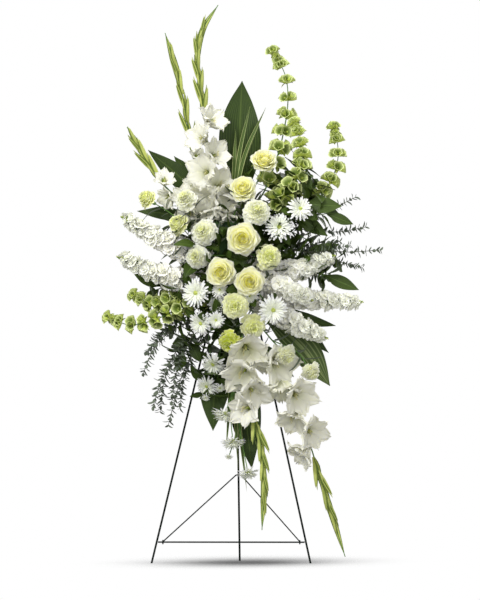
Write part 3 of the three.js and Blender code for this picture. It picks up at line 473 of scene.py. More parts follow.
class Shape:
    """A mesh as arrays: its points, the corners of its faces with a UV each, and for every point its share
    of the way up a spike or into a bloom and a tone that differs from copy to copy"""

    def __init__(self, points, corners, sizes, uv, finish=None, share=None, tone=None):
        self.points = np.asarray(points, float)
        self.corners = np.asarray(corners, np.int32)
        self.sizes = np.asarray(sizes, np.int32)
        self.uv = np.asarray(uv, float)
        self.share = np.zeros(len(self.points)) if share is None else share
        self.tone = np.full(len(self.points), 0.5) if tone is None else tone
        finish = [finish] * len(self.sizes) if finish is None or isinstance(finish, str) else finish
        self.finish = np.asarray(finish, object)

    def but(self, **changes):
        """This shape with some of its arrays changed"""
        return Shape(**{**vars(self), **changes})

    def moved(self, matrix):
        matrix = np.asarray(matrix, float)
        return self.but(points=self.points @ matrix[:3, :3].T + matrix[:3, 3])

    def marked(self, **marks):
        """This shape with one share or tone for all its points"""
        return self.but(**{mark: np.full(len(self.points), float(value)) for mark, value in marks.items()})

    @staticmethod
    def joined(shapes):
        starts = np.cumsum([0] + [len(s.points) for s in shapes[:-1]])
        arrays = {name: np.concatenate([vars(s)[name] for s in shapes]) for name in vars(shapes[0])}
        arrays["corners"] = np.concatenate([s.corners + start for s, start in zip(shapes, starts)])
        return Shape(**arrays)

    def to_mesh(self, name, marks=("share", "tone")):
        mesh = bpy.data.meshes.new(name)
        mesh.vertices.add(len(self.points))
        mesh.vertices.foreach_set("co", self.points.astype(np.float32).ravel())
        mesh.loops.add(len(self.corners))
        mesh.loops.foreach_set("vertex_index", self.corners)
        mesh.polygons.add(len(self.sizes))
        starts = np.concatenate([[0], np.cumsum(self.sizes)[:-1]]).astype(np.int32)
        mesh.polygons.foreach_set("loop_start", starts)
        used = [f for f in dict.fromkeys(self.finish) if f is not None]
        for finish in used:
            mesh.materials.append(bpy.data.materials[OWN + finish])
        order = {finish: k for k, finish in enumerate(used)}
        mesh.polygons.foreach_set("material_index", [order.get(f, 0) for f in self.finish])
        mesh.uv_layers.new(name="UVMap").uv.foreach_set("vector", self.uv.astype(np.float32).ravel())
        for mark in marks:
            values = vars(self)[mark].astype(np.float32)
            mesh.attributes.new(mark, "FLOAT", "POINT").data.foreach_set("value", values)
        mesh.update(calc_edges=True)
        mesh.shade_smooth()
        mesh.set_sharp_from_angle(angle=SHARP)
        mesh.validate()
        return mesh

    @staticmethod
    def from_mesh(mesh, finish):
        points = read(mesh.vertices, "co", 3).reshape(-1, 3)
        corners = read(mesh.loops, "vertex_index", kind=np.int32)
        sizes = read(mesh.polygons, "loop_total", kind=np.int32)
        uv = read(mesh.uv_layers[0].uv, "vector", 2) if mesh.uv_layers else np.zeros(len(corners) * 2)
        marks = {}
        for mark in ("share", "tone"):
            known = mark in mesh.attributes
            values = read(mesh.attributes[mark].data, "value") if known else np.zeros(len(points))
            marks[mark] = values.astype(float)
        return Shape(points, corners, sizes, uv.reshape(-1, 2), finish, **marks)


def closed_sheet(front, thickness):
    """A thin closed blade. `front` has its rows along the blade and its columns across, so that
    the way up its rows, across and out of its face go together as Z, X and Y do."""
    rows, columns = front.shape[:2]
    out = unit(np.cross(np.gradient(front, axis=0), np.gradient(front, axis=1)))
    inside = (slice(1, -1), slice(1, -1))
    near = np.arange(rows * columns).reshape(rows, columns)
    far = near.copy()
    far[inside] = rows * columns + np.arange((rows - 2) * (columns - 2)).reshape(rows - 2, columns - 2)
    points = np.vstack([front.reshape(-1, 3), (front - out * thickness)[inside].reshape(-1, 3)])
    uv = np.stack(np.meshgrid(np.linspace(0, 1, columns), np.linspace(0, 1, rows)), axis=-1)

    def faces(grid):
        around = [grid[:-1, :-1], grid[1:, :-1], grid[1:, 1:], grid[:-1, 1:]]
        return np.stack(around, axis=2).reshape(-1, 4, *grid.shape[2:])

    corners = np.vstack([faces(near), faces(far)[:, ::-1]])
    corner_uv = np.concatenate([faces(uv), faces(uv)[:, ::-1]])
    return Shape(points, corners.ravel(), np.full(len(corners), 4), corner_uv.reshape(-1, 2))


def lathe(profile, sides, finish=None, size=1.0, lobes=0, wave=0.0):
    """A closed shape turned about Z from (radius, height) pairs that start and end on the axis, in
    millimetres times `size`; the radius swells by `wave` in `lobes` places, the more the wider it is"""
    profile = np.array(profile, float)
    rings = profile[1:-1]
    angle = np.arange(sides) / sides * 2 * math.pi
    swell = 1 + wave * (rings[:, :1] / rings[:, 0].max()) ** 2 * np.cos(lobes * angle)[None, :]
    radius = rings[:, :1] * swell
    height = np.broadcast_to(rings[:, 1:], radius.shape)
    points = np.stack([radius * np.cos(angle), radius * np.sin(angle), height], -1).reshape(-1, 3)
    points = np.vstack([[0, 0, profile[0, 1]], points, [0, 0, profile[-1, 1]]])
    last = len(points) - 1
    top = len(rings) - 1
    share = np.linspace(0, 1, len(profile))
    corners, sizes, uv = [], [], []
    for k in range(sides):
        here, there = ([1 + r * sides + column % sides for r in range(top + 1)] for column in (k, k + 1))
        left, right = k / sides, (k + 1) / sides
        corners += [0, there[0], here[0]]
        uv += [(left, 0), (right, share[1]), (left, share[1])]
        for ring in range(top):
            corners += [here[ring], there[ring], there[ring + 1], here[ring + 1]]
            low, high = share[ring + 1], share[ring + 2]
            uv += [(left, low), (right, low), (right, high), (left, high)]
        corners += [last, here[top], there[top]]
        uv += [(left, 1), (left, share[-2]), (right, share[-2])]
        sizes += [3, *[4] * top, 3]
    return Shape(points * (size * MM), corners, sizes, uv, finish)


def smooth_steps(values, t):
    """A smooth run through values at even steps"""
    values = np.array(values, float)
    at = np.asarray(t, float) * (len(values) - 1)
    low = np.clip(np.floor(at).astype(int), 0, len(values) - 2)
    s = at - low
    padded = np.concatenate([[2 * values[0] - values[1]], values, [2 * values[-1] - values[-2]]])
    p0, p1, p2, p3 = (padded[low + k] for k in range(4))
    bend, twist = 2 * p0 - 5 * p1 + 4 * p2 - p3, 3 * p1 - p0 - 3 * p2 + p3
    return 0.5 * (2 * p1 + (p2 - p0) * s + bend * s ** 2 + twist * s ** 3)


def petal(
    length, width, outline, bend=(0.0, 0.0), cup=0.0, ruffle=0.0, waves=2.5, fray=0.0, teeth=9, round_tip=0.0,
    across=6, along=6, thickness=0.5, phase=0.0, point=0.0,
):
    """A petal from the origin along Z, its face to Y, in millimetres. `outline` names its widths,
    `bend` how far its base leans up and how much more it turns by its tip, `cup` raises its sides,
    `ruffle` waves its edge, `fray` nicks its tip, `round_tip` draws its corners in and `point` draws its
    middle out."""
    u, v = np.meshgrid(np.linspace(-1, 1, across + 1), np.linspace(0, 1, along + 1))
    half = 0.5 * width * np.maximum(smooth_steps(OUTLINES[outline], v[:, 0]), 0.02)[:, None]
    lean = bend[0] + bend[1] * np.linspace(0, 1, along + 1)
    step = length / along
    between = (lean[1:] + lean[:-1]) / 2
    middle = np.stack([np.concatenate([[0], np.cumsum(f(between)) * step]) for f in (np.sin, np.cos)], axis=1)
    tip = np.clip((v - 0.35) / 0.65, 0, 1) ** 2
    reach = -round_tip * length * tip * np.abs(u) ** 2.2 + point * length * tip * np.exp(-((u / 0.25) ** 2))
    reach -= fray * length * tip ** 3 * np.abs(np.sin(u * teeth * math.pi / 2 + phase))
    edge = np.maximum(np.abs(u) ** 1.5 * np.clip(v * 1.4, 0, 1), tip ** 1.5)
    sideways = np.sin(u * waves * math.pi + phase)
    lengthways = np.sin(v * waves * 1.7 * math.pi + phase * 2 + u * 1.3)
    wave = ruffle * length * edge * (0.6 * sideways + 0.4 * lengthways)
    rise = cup * half * u ** 2 * np.sin(math.pi * np.clip(v * 0.8 + 0.1, 0, 1)) + wave
    sin, cos = np.sin(lean)[:, None], np.cos(lean)[:, None]
    outward = middle[:, :1] + rise * cos + reach * sin
    upward = middle[:, 1:] - rise * sin + reach * cos
    return closed_sheet(np.stack([u * half, outward, upward], axis=-1) * MM, thickness * MM)


def petals_like(shapes, length, width, outline, **rest):
    """Petals that differ in length, in width and in how much they turn by their tips"""
    return [petal(length * grow, width * wide, outline, bend=bend, **rest) for grow, wide, bend in shapes]


def leaf_on(
    line, facing, width, outline, across=8, fold=0.0, wave=0.0, waves=3.0, curl=0.0, thickness=0.8, phase=0.0,
):
    """A leaf laid along a line of points, its face to `facing`, in millimetres but for the line. `fold`
    raises its sides, `wave` ripples its edge and `curl` turns it round its midrib."""
    along = unit(np.gradient(line, axis=0))
    side = unit(np.cross(along, np.broadcast_to(np.asarray(facing, float), along.shape)))
    out = np.cross(side, along)
    t = np.linspace(0, 1, len(line))[:, None]
    half = np.maximum(smooth_steps(OUTLINES[outline], t), 0.012) * width * 0.5 * MM
    u = np.linspace(-1, 1, across + 1)[None, :]
    lift = (fold * np.abs(u) ** 1.3 + curl * u * np.sin(t * 2.2 + phase)) * half
    ripple = np.sin(t * waves * 2 * math.pi + phase + u * 0.8) * np.sin(math.pi * t)
    lift = lift + wave * MM * np.abs(u) ** 2 * ripple
    front = line[:, None] - side[:, None] * (u * half)[..., None] + out[:, None] * lift[..., None]
    return closed_sheet(front, thickness * MM)


def turned_to(at, direction):
    """Matrix that stands a shape made along Z at a place and turns it to a direction"""
    turn = Vector(direction).normalized().to_track_quat("Z", "Y").to_matrix().to_4x4()
    return Matrix.Translation(Vector(at)) @ turn


# Node trees


class Value:
    """A socket of a node tree; numbers take part in sums written as Python expressions"""

    def __init__(self, tree, socket):
        self.tree = tree
        self.socket = socket

    def of(self, output):
        """Another output of the same node"""
        return Value(self.tree, self.socket.node.outputs[output])

    def math(self, operation, *others):
        return self.tree.math(operation, self, *others)

    def __add__(self, other):
        return self.math("ADD", other)

    def __mul__(self, other):
        return self.math("MULTIPLY", other)

    __radd__, __rmul__ = __add__, __mul__

    def __sub__(self, other):
        return self.math("SUBTRACT", other)

    def __rsub__(self, other):
        return self.tree.math("SUBTRACT", other, self)

    def __truediv__(self, other):
        return self.math("DIVIDE", other)

    def __rtruediv__(self, other):
        return self.tree.math("DIVIDE", other, self)


class Tree:
    """Adds nodes to a shader or geometry tree"""

    def __init__(self, group):
        self.group = group

    def node(self, kind, settings=None, inputs=None, output=0):
        """A node of a type with its settings, then the values or links of its sockets"""
        made = self.group.nodes.new(kind)
        for name, value in (settings or {}).items():
            setattr(made, name, value)
        for socket, value in (inputs or {}).items():
            if isinstance(value, Value):
                self.group.links.new(value.socket, made.inputs[socket])
            else:
                made.inputs[socket].default_value = value
        return Value(self, made.outputs[output]) if made.outputs else made

    def known(self, kind):
        """The node of a kind that a new tree already has"""
        return next(n for n in self.group.nodes if n.type == kind)

    def math(self, operation, *values):
        return self.node("ShaderNodeMath", {"operation": operation}, dict(enumerate(values)))

    def vector(self, operation, *values, output=0):
        return self.node("ShaderNodeVectorMath", {"operation": operation}, dict(enumerate(values)), output)

    def scaled(self, vector, factor):
        return self.node("ShaderNodeVectorMath", {"operation": "SCALE"}, {0: vector, "Scale": factor})

    def vector_of(self, x, y, z):
        return self.node("ShaderNodeCombineXYZ", inputs={0: x, 1: y, 2: z})


class GrowTree(Tree):
    """A geometry tree with named inputs that ends in one finish"""

    def __init__(self, name, sockets):
        super().__init__(bpy.data.node_groups.new(name, "GeometryNodeTree"))
        self.sockets = {}
        for socket, kind in {"Line": "Geometry", **sockets, "Finish": "Material"}.items():
            made = self.group.interface.new_socket(socket, in_out="INPUT", socket_type="NodeSocket" + kind)
            self.sockets[socket] = made.identifier
        self.group.interface.new_socket("Grown", in_out="OUTPUT", socket_type="NodeSocketGeometry")
        self.entry = self.group.nodes.new("NodeGroupInput")

    def input(self, name):
        return Value(self, self.entry.outputs[name])

    def between(self, share, first, second):
        """Runs from one input to another"""
        first, second = self.input(first), self.input(second)
        return first + (second - first) * share

    def random(self, low, high, salt):
        inputs = {2: low, 3: high, "Seed": self.input("Seed") + salt}
        return self.node("FunctionNodeRandomValue", {"data_type": "FLOAT"}, inputs, output=1)

    def mark(self, geometry, name, value, domain):
        settings = {"data_type": "FLOAT", "domain": domain}
        inputs = {"Geometry": geometry, "Name": name, "Value": value}
        return self.node("GeometryNodeStoreNamedAttribute", settings, inputs)

    def finish(self, geometry):
        realized = self.node("GeometryNodeRealizeInstances", inputs={"Geometry": geometry})
        inputs = {"Geometry": realized, "Material": self.input("Finish")}
        painted = self.node("GeometryNodeSetMaterial", inputs=inputs)
        self.group.links.new(painted.socket, self.group.nodes.new("NodeGroupOutput").inputs[0])

    def run(self, lines, finish, **values):
        """Runs the tree on lines of points and gives the result as a Shape"""
        mesh = bpy.data.meshes.new("line")
        starts = np.concatenate([[0], np.cumsum([len(line) for line in lines])])
        spans = [range(first, first + len(line) - 1) for line, first in zip(lines, starts)]
        edges = [(k, k + 1) for span in spans for k in span]
        mesh.from_pydata(np.vstack(lines).tolist(), edges, [])
        holder = bpy.data.objects.new("line", mesh)
        bpy.context.scene.collection.objects.link(holder)
        modifier = holder.modifiers.new("Grow", "NODES")
        modifier.node_group = self.group
        modifier[self.sockets["Finish"]] = bpy.data.materials[OWN + finish]
        for name, value in values.items():
            modifier[self.sockets[name.replace("_", " ").title()]] = value
        made = bpy.data.meshes.new_from_object(holder.evaluated_get(bpy.context.evaluated_depsgraph_get()))
        shape = Shape.from_mesh(made, finish)
        bpy.data.objects.remove(holder)
        bpy.data.meshes.remove(mesh)
        bpy.data.meshes.remove(made)
        if not len(shape.points):
            raise RuntimeError(f"{self.group.name} grew nothing for {finish}")
        return shape


def make_tube_tree():
    """A tapered tube along each line"""
    tree = GrowTree("Tube along a line", {"Radius": "Float", "Tip Radius": "Float", "Sides": "Int"})
    curve = tree.node("GeometryNodeMeshToCurve", inputs={"Mesh": tree.input("Line")})
    share = tree.node("GeometryNodeSplineParameter")
    sides = {"Resolution": tree.input("Sides"), "Radius": 1.0}
    tree.finish(tree.node("GeometryNodeCurveToMesh", inputs={
        "Curve": tree.mark(curve, "share", share, "POINT"),
        "Profile Curve": tree.node("GeometryNodeCurvePrimitiveCircle", inputs=sides),
        "Scale": tree.between(share, "Radius", "Tip Radius"),
        "Fill Caps": True,
    }))
    return tree


def make_spiral_tree():
    """Sets copies of up to three shapes round a line, in a spiral, in whorls or in two ranks"""
    names = {
        "Object": ("First Shape", "Second Shape", "Third Shape"),
        "Int": ("Count", "Bunch", "Seed"),
        "Float": (
            "Start", "End", "First Turn", "Turn", "Rank", "Wobble", "Size Wobble",
            "Base Lean", "Tip Lean", "Base Size", "Tip Size", "Base Stand", "Tip Stand",
        ),
        "Vector": ("Facing",),
    }
    tree = GrowTree("Shapes set round a line", {name: kind for kind in names for name in names[kind]})
    count, bunch, wobble, spread = (tree.input(name) for name in ("Count", "Bunch", "Wobble", "Size Wobble"))
    index = tree.node("GeometryNodeInputIndex")
    whorl = (index / bunch + 0.001).math("FLOOR")
    within = index - whorl * bunch
    last = (count / bunch - 0.001).math("CEIL") - 1
    share = whorl / last.math("MAXIMUM", 1)
    curve = tree.node("GeometryNodeMeshToCurve", inputs={"Mesh": tree.input("Line")})
    sample = tree.node(
        "GeometryNodeSampleCurve", {"mode": "FACTOR", "use_all_curves": True},
        {"Curves": curve, "Factor": tree.between(share, "Start", "End")}, output="Position",
    )
    along = sample.of("Tangent")
    side = tree.vector("NORMALIZE", tree.vector("CROSS_PRODUCT", along, tree.input("Facing")))
    out = tree.vector("CROSS_PRODUCT", side, along)
    ranks = tree.input("Rank") * (index * math.pi).math("COSINE")
    angle = tree.input("First Turn") + tree.input("Turn") * whorl + ranks + within * 2 * math.pi / bunch
    away = tree.vector("ADD", tree.scaled(out, angle.math("COSINE")), tree.scaled(side, angle.math("SINE")))
    lean = tree.between(share, "Base Lean", "Tip Lean")
    sine, cosine = lean.math("SINE"), lean.math("COSINE")
    direction = tree.vector("ADD", tree.scaled(away, cosine), tree.scaled(along, sine))
    face = tree.vector("SUBTRACT", tree.scaled(along, cosine), tree.scaled(away, sine))
    axes = {"primary_axis": "Z", "secondary_axis": "Y"}
    turned = tree.node("FunctionNodeAxesToRotation", axes, {0: direction, 1: face})
    shake = tree.vector_of(*(tree.random(0 - wobble, wobble, salt) for salt in (11, 12, 13)))
    turned = tree.node("FunctionNodeRotateRotation", {"rotation_space": "LOCAL"}, {
        0: turned, 1: tree.node("FunctionNodeEulerToRotation", inputs={0: shake}),
    })
    stand = tree.scaled(away, tree.between(share, "Base Stand", "Tip Stand"))
    size = tree.between(share, "Base Size", "Tip Size") * tree.random(1 - spread, 1 + spread, 14)
    variants = tree.group.nodes.new("GeometryNodeJoinGeometry")
    for name in reversed(names["Object"]):
        shown = {0: tree.input(name), "As Instance": True}
        shape = tree.node("GeometryNodeObjectInfo", inputs=shown, output="Geometry")
        tree.group.links.new(shape.socket, variants.inputs[0])
    copies = tree.node("GeometryNodeInstanceOnPoints", inputs={
        "Points": tree.node("GeometryNodePoints", inputs={
            "Count": count, "Position": tree.vector("ADD", sample, stand),
        }),
        "Instance": Value(tree, variants.outputs[0]),
        "Pick Instance": True,
        "Instance Index": tree.random(0, 2.999, 15).math("FLOOR"),
        "Rotation": turned,
        "Scale": tree.vector_of(size, size, size),
    })
    copies = tree.mark(copies, "share", share, "INSTANCE")
    tree.finish(tree.mark(copies, "tone", tree.random(0, 1, 16), "INSTANCE"))
    return tree


TUBES = make_tube_tree()
SPIRAL = make_spiral_tree()


def tubes(lines, finish, radius, tip_radius, sides=8):
    """Tapered tubes along lines, their radii in millimetres"""
    return TUBES.run(lines, finish, radius=radius * MM, tip_radius=tip_radius * MM, sides=sides)


def set_round(
    line, shapes, finish, seed, count, start=0.0, end=1.0, turn=GOLDEN_TURN, lean=(0.5, 0.5), size=(1.0, 1.0),
    stand=(0.0, 0.0), bunch=1, first_turn=0.0, rank=0.0, wobble=0.1, size_wobble=0.06, facing=None,
):
    """Copies of shapes set round a line by the tree. `lean`, `size` and `stand` run from its start to its
    end, and `stand` is in millimetres."""
    if facing is None:
        facing = FRONT if abs(unit(line[-1] - line[0]) @ FRONT) < 0.8 else UP
    things = [bpy.data.objects.new("variant", shape.to_mesh("variant", marks=())) for shape in shapes]
    which = ("first_shape", "second_shape", "third_shape")
    picks = {name: things[k % len(things)] for k, name in enumerate(which)}
    values = dict(
        start=start, end=end, turn=turn, first_turn=first_turn, rank=rank, wobble=wobble,
        size_wobble=size_wobble, base_lean=lean[0], tip_lean=lean[1], base_size=size[0], tip_size=size[1],
        base_stand=stand[0] * MM, tip_stand=stand[1] * MM,
    )
    values = {name: float(value) for name, value in values.items()}
    facing = [float(x) for x in facing]
    grown = SPIRAL.run([line], finish, count=count, bunch=bunch, facing=facing, seed=seed, **picks, **values)
    for thing in things:
        mesh = thing.data
        bpy.data.objects.remove(thing)
        bpy.data.meshes.remove(mesh)
    return grown


# Finishes


class Finish(Tree):
    """A material being mixed: the values of its shader that don't vary, then colour, roughness and bump"""

    def __init__(self, name, constants):
        self.material = bpy.data.materials.new(OWN + name)
        self.material.use_nodes = True
        super().__init__(self.material.node_tree)
        self.shader = self.known("BSDF_PRINCIPLED")
        for socket, value in constants.items():
            self.shader.inputs[socket].default_value = value

    def uv(self):
        unwrapped = self.node("ShaderNodeUVMap", {"uv_map": "UVMap"})
        split = self.node("ShaderNodeSeparateXYZ", inputs={0: unwrapped})
        return split, split.of(1)

    def mark(self, name):
        return self.node("ShaderNodeAttribute", {"attribute_name": name}, output="Fac")

    def place(self):
        return self.node("ShaderNodeTexCoord", output="Object")

    def noise(self, vector, scale, detail=3.0):
        inputs = {"Vector": vector, "Scale": scale, "Detail": detail}
        return self.node("ShaderNodeTexNoise", inputs=inputs)

    def step(self, value, low, high):
        """Runs smoothly from 0 at `low` to 1 at `high`"""
        inputs = {"Value": value, "From Min": low, "From Max": high}
        return self.node("ShaderNodeMapRange", {"interpolation_type": "SMOOTHSTEP"}, inputs)

    def mixed(self, factor, first, second):
        colours = [c if isinstance(c, Value) else (*c, 1) for c in (first, second)]
        inputs = {0: factor, 6: colours[0], 7: colours[1]}
        return self.node("ShaderNodeMix", {"data_type": "RGBA"}, inputs, output=2)

    def paint(self, colour, roughness=None, height=None, depth=0.2):
        """Feeds the shader; `height` makes a bump `depth` millimetres deep"""
        fed = {"Base Color": colour, "Roughness": roughness}
        if height is not None:
            inputs = {"Strength": 0.6, "Distance": depth * MM, "Height": height}
            fed["Normal"] = self.node("ShaderNodeBump", inputs=inputs)
        for socket, value in fed.items():
            if value is not None:
                self.group.links.new(value.socket, self.shader.inputs[socket])


def petal_finish(name, base, tip, heart, streak=0.05, edge=None, through=0.25):
    """A petal: one colour at its base and another at its tip, drawn towards `heart` deeper in the bloom, with
    fibres and copies darker by `streak`; `through` is how much light passes"""
    finish = Finish(name, {
        "Roughness": 0.55, "Specular IOR Level": 0.3, "Subsurface Weight": through,
        "Subsurface Radius": (1.0, 0.95, 0.6), "Subsurface Scale": 7 * MM * through,
    })
    u, v = finish.uv()
    colour = finish.mixed(finish.step(v, 0.05, 0.75), base, tip)
    colour = finish.mixed(finish.step(finish.mark("share"), 0.1, 1.0), colour, heart)
    if edge is not None:
        rim = finish.step((u - 0.5).math("ABSOLUTE"), 0.36, 0.5).math("MAXIMUM", finish.step(v, 0.86, 1.0))
        colour = finish.mixed(rim * 0.85, colour, edge)
    fibres = finish.noise(finish.vector_of(u * 34, v * 2.2, finish.mark("tone") * 9), 1.0)
    shade = tuple(c * (1 - 3 * streak) for c in tip)
    colour = finish.mixed(finish.step(fibres, 0.5, 0.75) * (streak * 4), colour, shade)
    finish.paint(finish.mixed(finish.mark("tone") * streak * 3, colour, shade), height=fibres, depth=0.35)


def cup_finish(name, dark, green, rim):
    """A cup turned on the lathe: green outside, a pale rim and an inside darkened as painted shade, with
    veins up its wall
    """
    finish = Finish(name, {"Roughness": 0.5, "Specular IOR Level": 0.3})
    u, v = finish.uv()
    colour = finish.mixed(finish.step(v, 0.3, 0.5), green, rim)
    # Painted shade: the inside of the cup, down into its hollow, takes the dark colour
    colour = finish.mixed(finish.step(v, 0.54, 0.8), colour, dark)
    veins = finish.step((u * 20 * math.pi).math("SINE"), 0.5, 1.0)
    colour = finish.mixed(veins * 0.3 + finish.mark("tone") * 0.25, colour, dark)
    finish.paint(colour, height=veins, depth=0.3)


def leaf_finish(name, dark, light, vein, pattern, roughness=0.4, side_cream_and_shade=None, lines=16.0):
    """A leaf: mottled green with a pale midrib and parallel or feathered veins, and sides of another colour
    if
    given: cream on the grass blades, painted shade on the folded sheaths of the bract finish
    """
    finish = Finish(name, {"Roughness": roughness, "Specular IOR Level": 0.2})
    u, v = finish.uv()
    across = (u - 0.5).math("ABSOLUTE")
    cloud = finish.noise(finish.place(), 45.0)
    colour = finish.mixed(cloud * 0.6 + finish.mark("tone") * 0.4, dark, light)
    if pattern == "parallel":
        run, clear, strength = u * lines * 2 * math.pi + cloud * 1.5, 0.1, 0.45
    else:
        run, clear, strength = (v - across * 0.9) * lines * 2 * math.pi, 0.82, 0.4
    ribs = finish.step(run.math("SINE"), clear, 1.0)
    midrib = 1 - finish.step(across, 0.012, 0.05)
    colour = finish.mixed(ribs * strength, colour, vein)
    # Sides: real cream stripes on the grass blades; for the bract finish a dark green, painted shade where
    # its folded sheaths turn away
    if side_cream_and_shade is not None:
        colour = finish.mixed(finish.step(across, 0.34, 0.42), colour, side_cream_and_shade)
    colour = finish.mixed(midrib * 0.6, colour, vein)
    finish.paint(colour, roughness=cloud * 0.25 + (roughness - 0.1), height=ribs * -0.6 + midrib, depth=0.4)


def plain_finish(name, dark, light, scale, roughness, depth=0.1, shine=None):
    """A mottled finish on the object's own places, for stems, wire and moulded plastic"""
    finish = Finish(name, {"Roughness": roughness, **({"Specular IOR Level": shine} if shine else {})})
    cloud = finish.noise(finish.place(), scale, 5.0)
    fine = finish.noise(finish.place(), scale * 6)
    colour = finish.mixed(finish.step(cloud, 0.3, 0.7), dark, light)
    finish.paint(colour, roughness=fine * 0.2 + (roughness - 0.1), height=fine, depth=depth)


def make_finishes():
    """Colours are linear; each call gives them from the depth of a piece to its rim, or from dark to light"""
    hue = bpy.context.scene.spray_colours
    petal_finish("rose_petal", (0.95, 0.94, 0.46), hue.rose_edge, hue.rose_heart, 0.012,
                 (0.98, 0.97, 0.74), 0.6)
    petal_finish("carnation_petal", hue.carnation_heart, (0.95, 0.96, 0.74), hue.carnation_heart, 0.015,
                 hue.carnation_edge, 0.5)
    petal_finish("yellow_carnation_petal", (0.78, 0.82, 0.26), (0.90, 0.92, 0.48), (0.84, 0.88, 0.34), 0.015,
                 (0.96, 0.97, 0.74))
    petal_finish("lime_carnation_petal", (0.50, 0.58, 0.03), (0.74, 0.80, 0.12), (0.60, 0.68, 0.05), 0.02,
                 (0.90, 0.93, 0.50))
    petal_finish("daisy_ray", (0.88, 0.92, 0.76), hue.white, (0.93, 0.96, 0.80), 0.02)
    petal_finish("gladiolus_petal", hue.gladiolus_throat, hue.gladiolus, hue.gladiolus, 0.045)
    petal_finish("stock_petal", (0.95, 0.94, 0.80), hue.stock, (0.94, 0.95, 0.84), 0.015)
    # The bells' first colour is painted shade deep inside the cups, and also the colour their veins darken to
    cup_finish("bell_cup", (0.17, 0.24, 0.04), hue.bell, (0.86, 0.93, 0.42))
    # The dark green after 0.5 is painted shade on the folded sides of the sheaths
    leaf_finish("bract", (0.14, 0.19, 0.03), hue.bract, (0.72, 0.76, 0.32), "parallel", 0.5,
                (0.10, 0.15, 0.02), 3.0)
    leaf_finish("broad_leaf", (0.008, 0.020, 0.002), hue.broad_leaf, (0.08, 0.125, 0.022), "parallel", 0.45)
    leaf_finish("striped_leaf", (0.024, 0.042, 0.008), (0.07, 0.11, 0.025), (0.27, 0.33, 0.13), "parallel",
                0.5, lines=7.0)
    leaf_finish("oval_leaf", (0.020, 0.038, 0.004), hue.oval_leaf, (0.10, 0.17, 0.03), "feathered", 0.42,
                lines=9.0)
    leaf_finish("grey_leaf", (0.042, 0.058, 0.040), hue.eucalyptus, (0.14, 0.18, 0.12), "feathered", 0.6,
                lines=6.0)
    leaf_finish("grass_blade", (0.018, 0.048, 0.006), (0.05, 0.10, 0.012), (0.20, 0.27, 0.07), "parallel",
                0.45, (0.38, 0.43, 0.17), 5.0)
    plain_finish("green_stem", (0.06, 0.15, 0.02), (0.12, 0.26, 0.04), 90.0, 0.5)
    plain_finish("grey_twig", (0.05, 0.055, 0.035), (0.12, 0.12, 0.07), 120.0, 0.7)
    plain_finish("daisy_disc", (0.42, 0.52, 0.08), (0.72, 0.76, 0.22), 300.0, 0.7, 0.3)
    plain_finish("anther", (0.55, 0.50, 0.22), (0.75, 0.72, 0.42), 300.0, 0.7)
    plain_finish("wire_coat", (0.003, 0.006, 0.004), hue.wire, 160.0, 0.6, 0.15, 0.12)
    plain_finish("cage_plastic", (0.010, 0.034, 0.010), (0.016, 0.05, 0.016), 110.0, 0.5, 0.15)
    plain_finish("wet_foam", (0.028, 0.07, 0.018), (0.05, 0.11, 0.03), 420.0, 0.9, 0.6)


# Blooms

# Low and rim radius, drop, rise, span, roll and point of each ring of a rose's petals, in parts of the rose's
# radius, and how many petals it has
ROSE_RINGS = (
    (0.25, 0.80, 0.76, -0.06, 0.92, 0.27, 0.06, 5), (0.25, 0.78, 0.76, 0.12, 0.90, 0.24, 0.06, 5),
    (0.24, 0.69, 0.72, 0.24, 0.88, 0.2, 0.05, 5), (0.22, 0.59, 0.66, 0.34, 0.88, 0.15, 0.04, 5),
    (0.2, 0.50, 0.58, 0.40, 0.92, 0.11, 0.02, 5), (0.19, 0.42, 0.52, 0.45, 0.98, 0.08, 0.02, 4),
    (0.18, 0.36, 0.46, 0.49, 1.06, 0.05, 0.02, 4), (0.18, 0.3, 0.42, 0.52, 1.2, 0.03, 0.02, 3),
)
# How much wider a petal's rim is and how much higher it stands than its ring's, to tell neighbours apart
ROSE_VARIANTS = ((1.0, 0.0), (1.05, 0.03), (0.96, -0.02))


def rose_petal(half, low, rim, drop, rise, span, roll, point):
    """A petal wrapped round the bloom's axis, which is Y, its outside to Z, in millimetres"""
    u, v = np.meshgrid(np.linspace(-1, 1, 11), np.linspace(0, 1, 10))
    reach = v * (1 - 0.26 * np.abs(u) ** 2.6 + point * np.exp(-((u / 0.2) ** 2)))
    radius = low + (rim - low) * (1 - (1 - np.clip(reach, 0, 1)) ** 1.9)
    height = -drop + (rise + drop) * reach ** 1.2
    lip = np.clip((reach - 0.7) / 0.3, 0, 1.3)
    radius = radius + roll * (lip ** 2 + 0.5 * np.abs(u) ** 4 * v) + 0.045 * u
    height = height - 0.55 * roll * lip ** 3 + 0.012 * np.sin(u * 7 + rim * 20) * v
    return wrapped(radius, height, span * u * (0.5 + 0.5 * v ** 0.5), half, 0.45)


def rose_heart(half, turns=2.6):
    """The tight coil of small petals in a rose's middle, along Y"""
    t, v = np.meshgrid(np.linspace(0, 1, 31), np.linspace(0, 1, 5))
    radius = 0.25 - 0.2 * t + 0.015 * np.sin(t * turns * 9) - 0.05 * (v - 0.6) ** 2
    height = -0.3 + (0.84 - 0.1 * t + 0.05 * np.sin(t * turns * 8)) * v
    return wrapped(radius, height, turns * 2 * math.pi * t, half, 0.35)


def wrapped(radius, height, angle, half, thickness):
    """A blade from grids of its radius, height and angle about Y"""
    front = np.stack([radius * np.sin(angle), height, radius * np.cos(angle)], axis=-1)
    return closed_sheet(front * half * MM, thickness * MM)


def on_axis(at, direction, low, high):
    """A short line of three points along a bloom's axis, from one height to the other in millimetres"""
    low, high = low * MM, high * MM
    return np.array([at + direction * (low + (high - low) * k / 2) for k in range(3)])


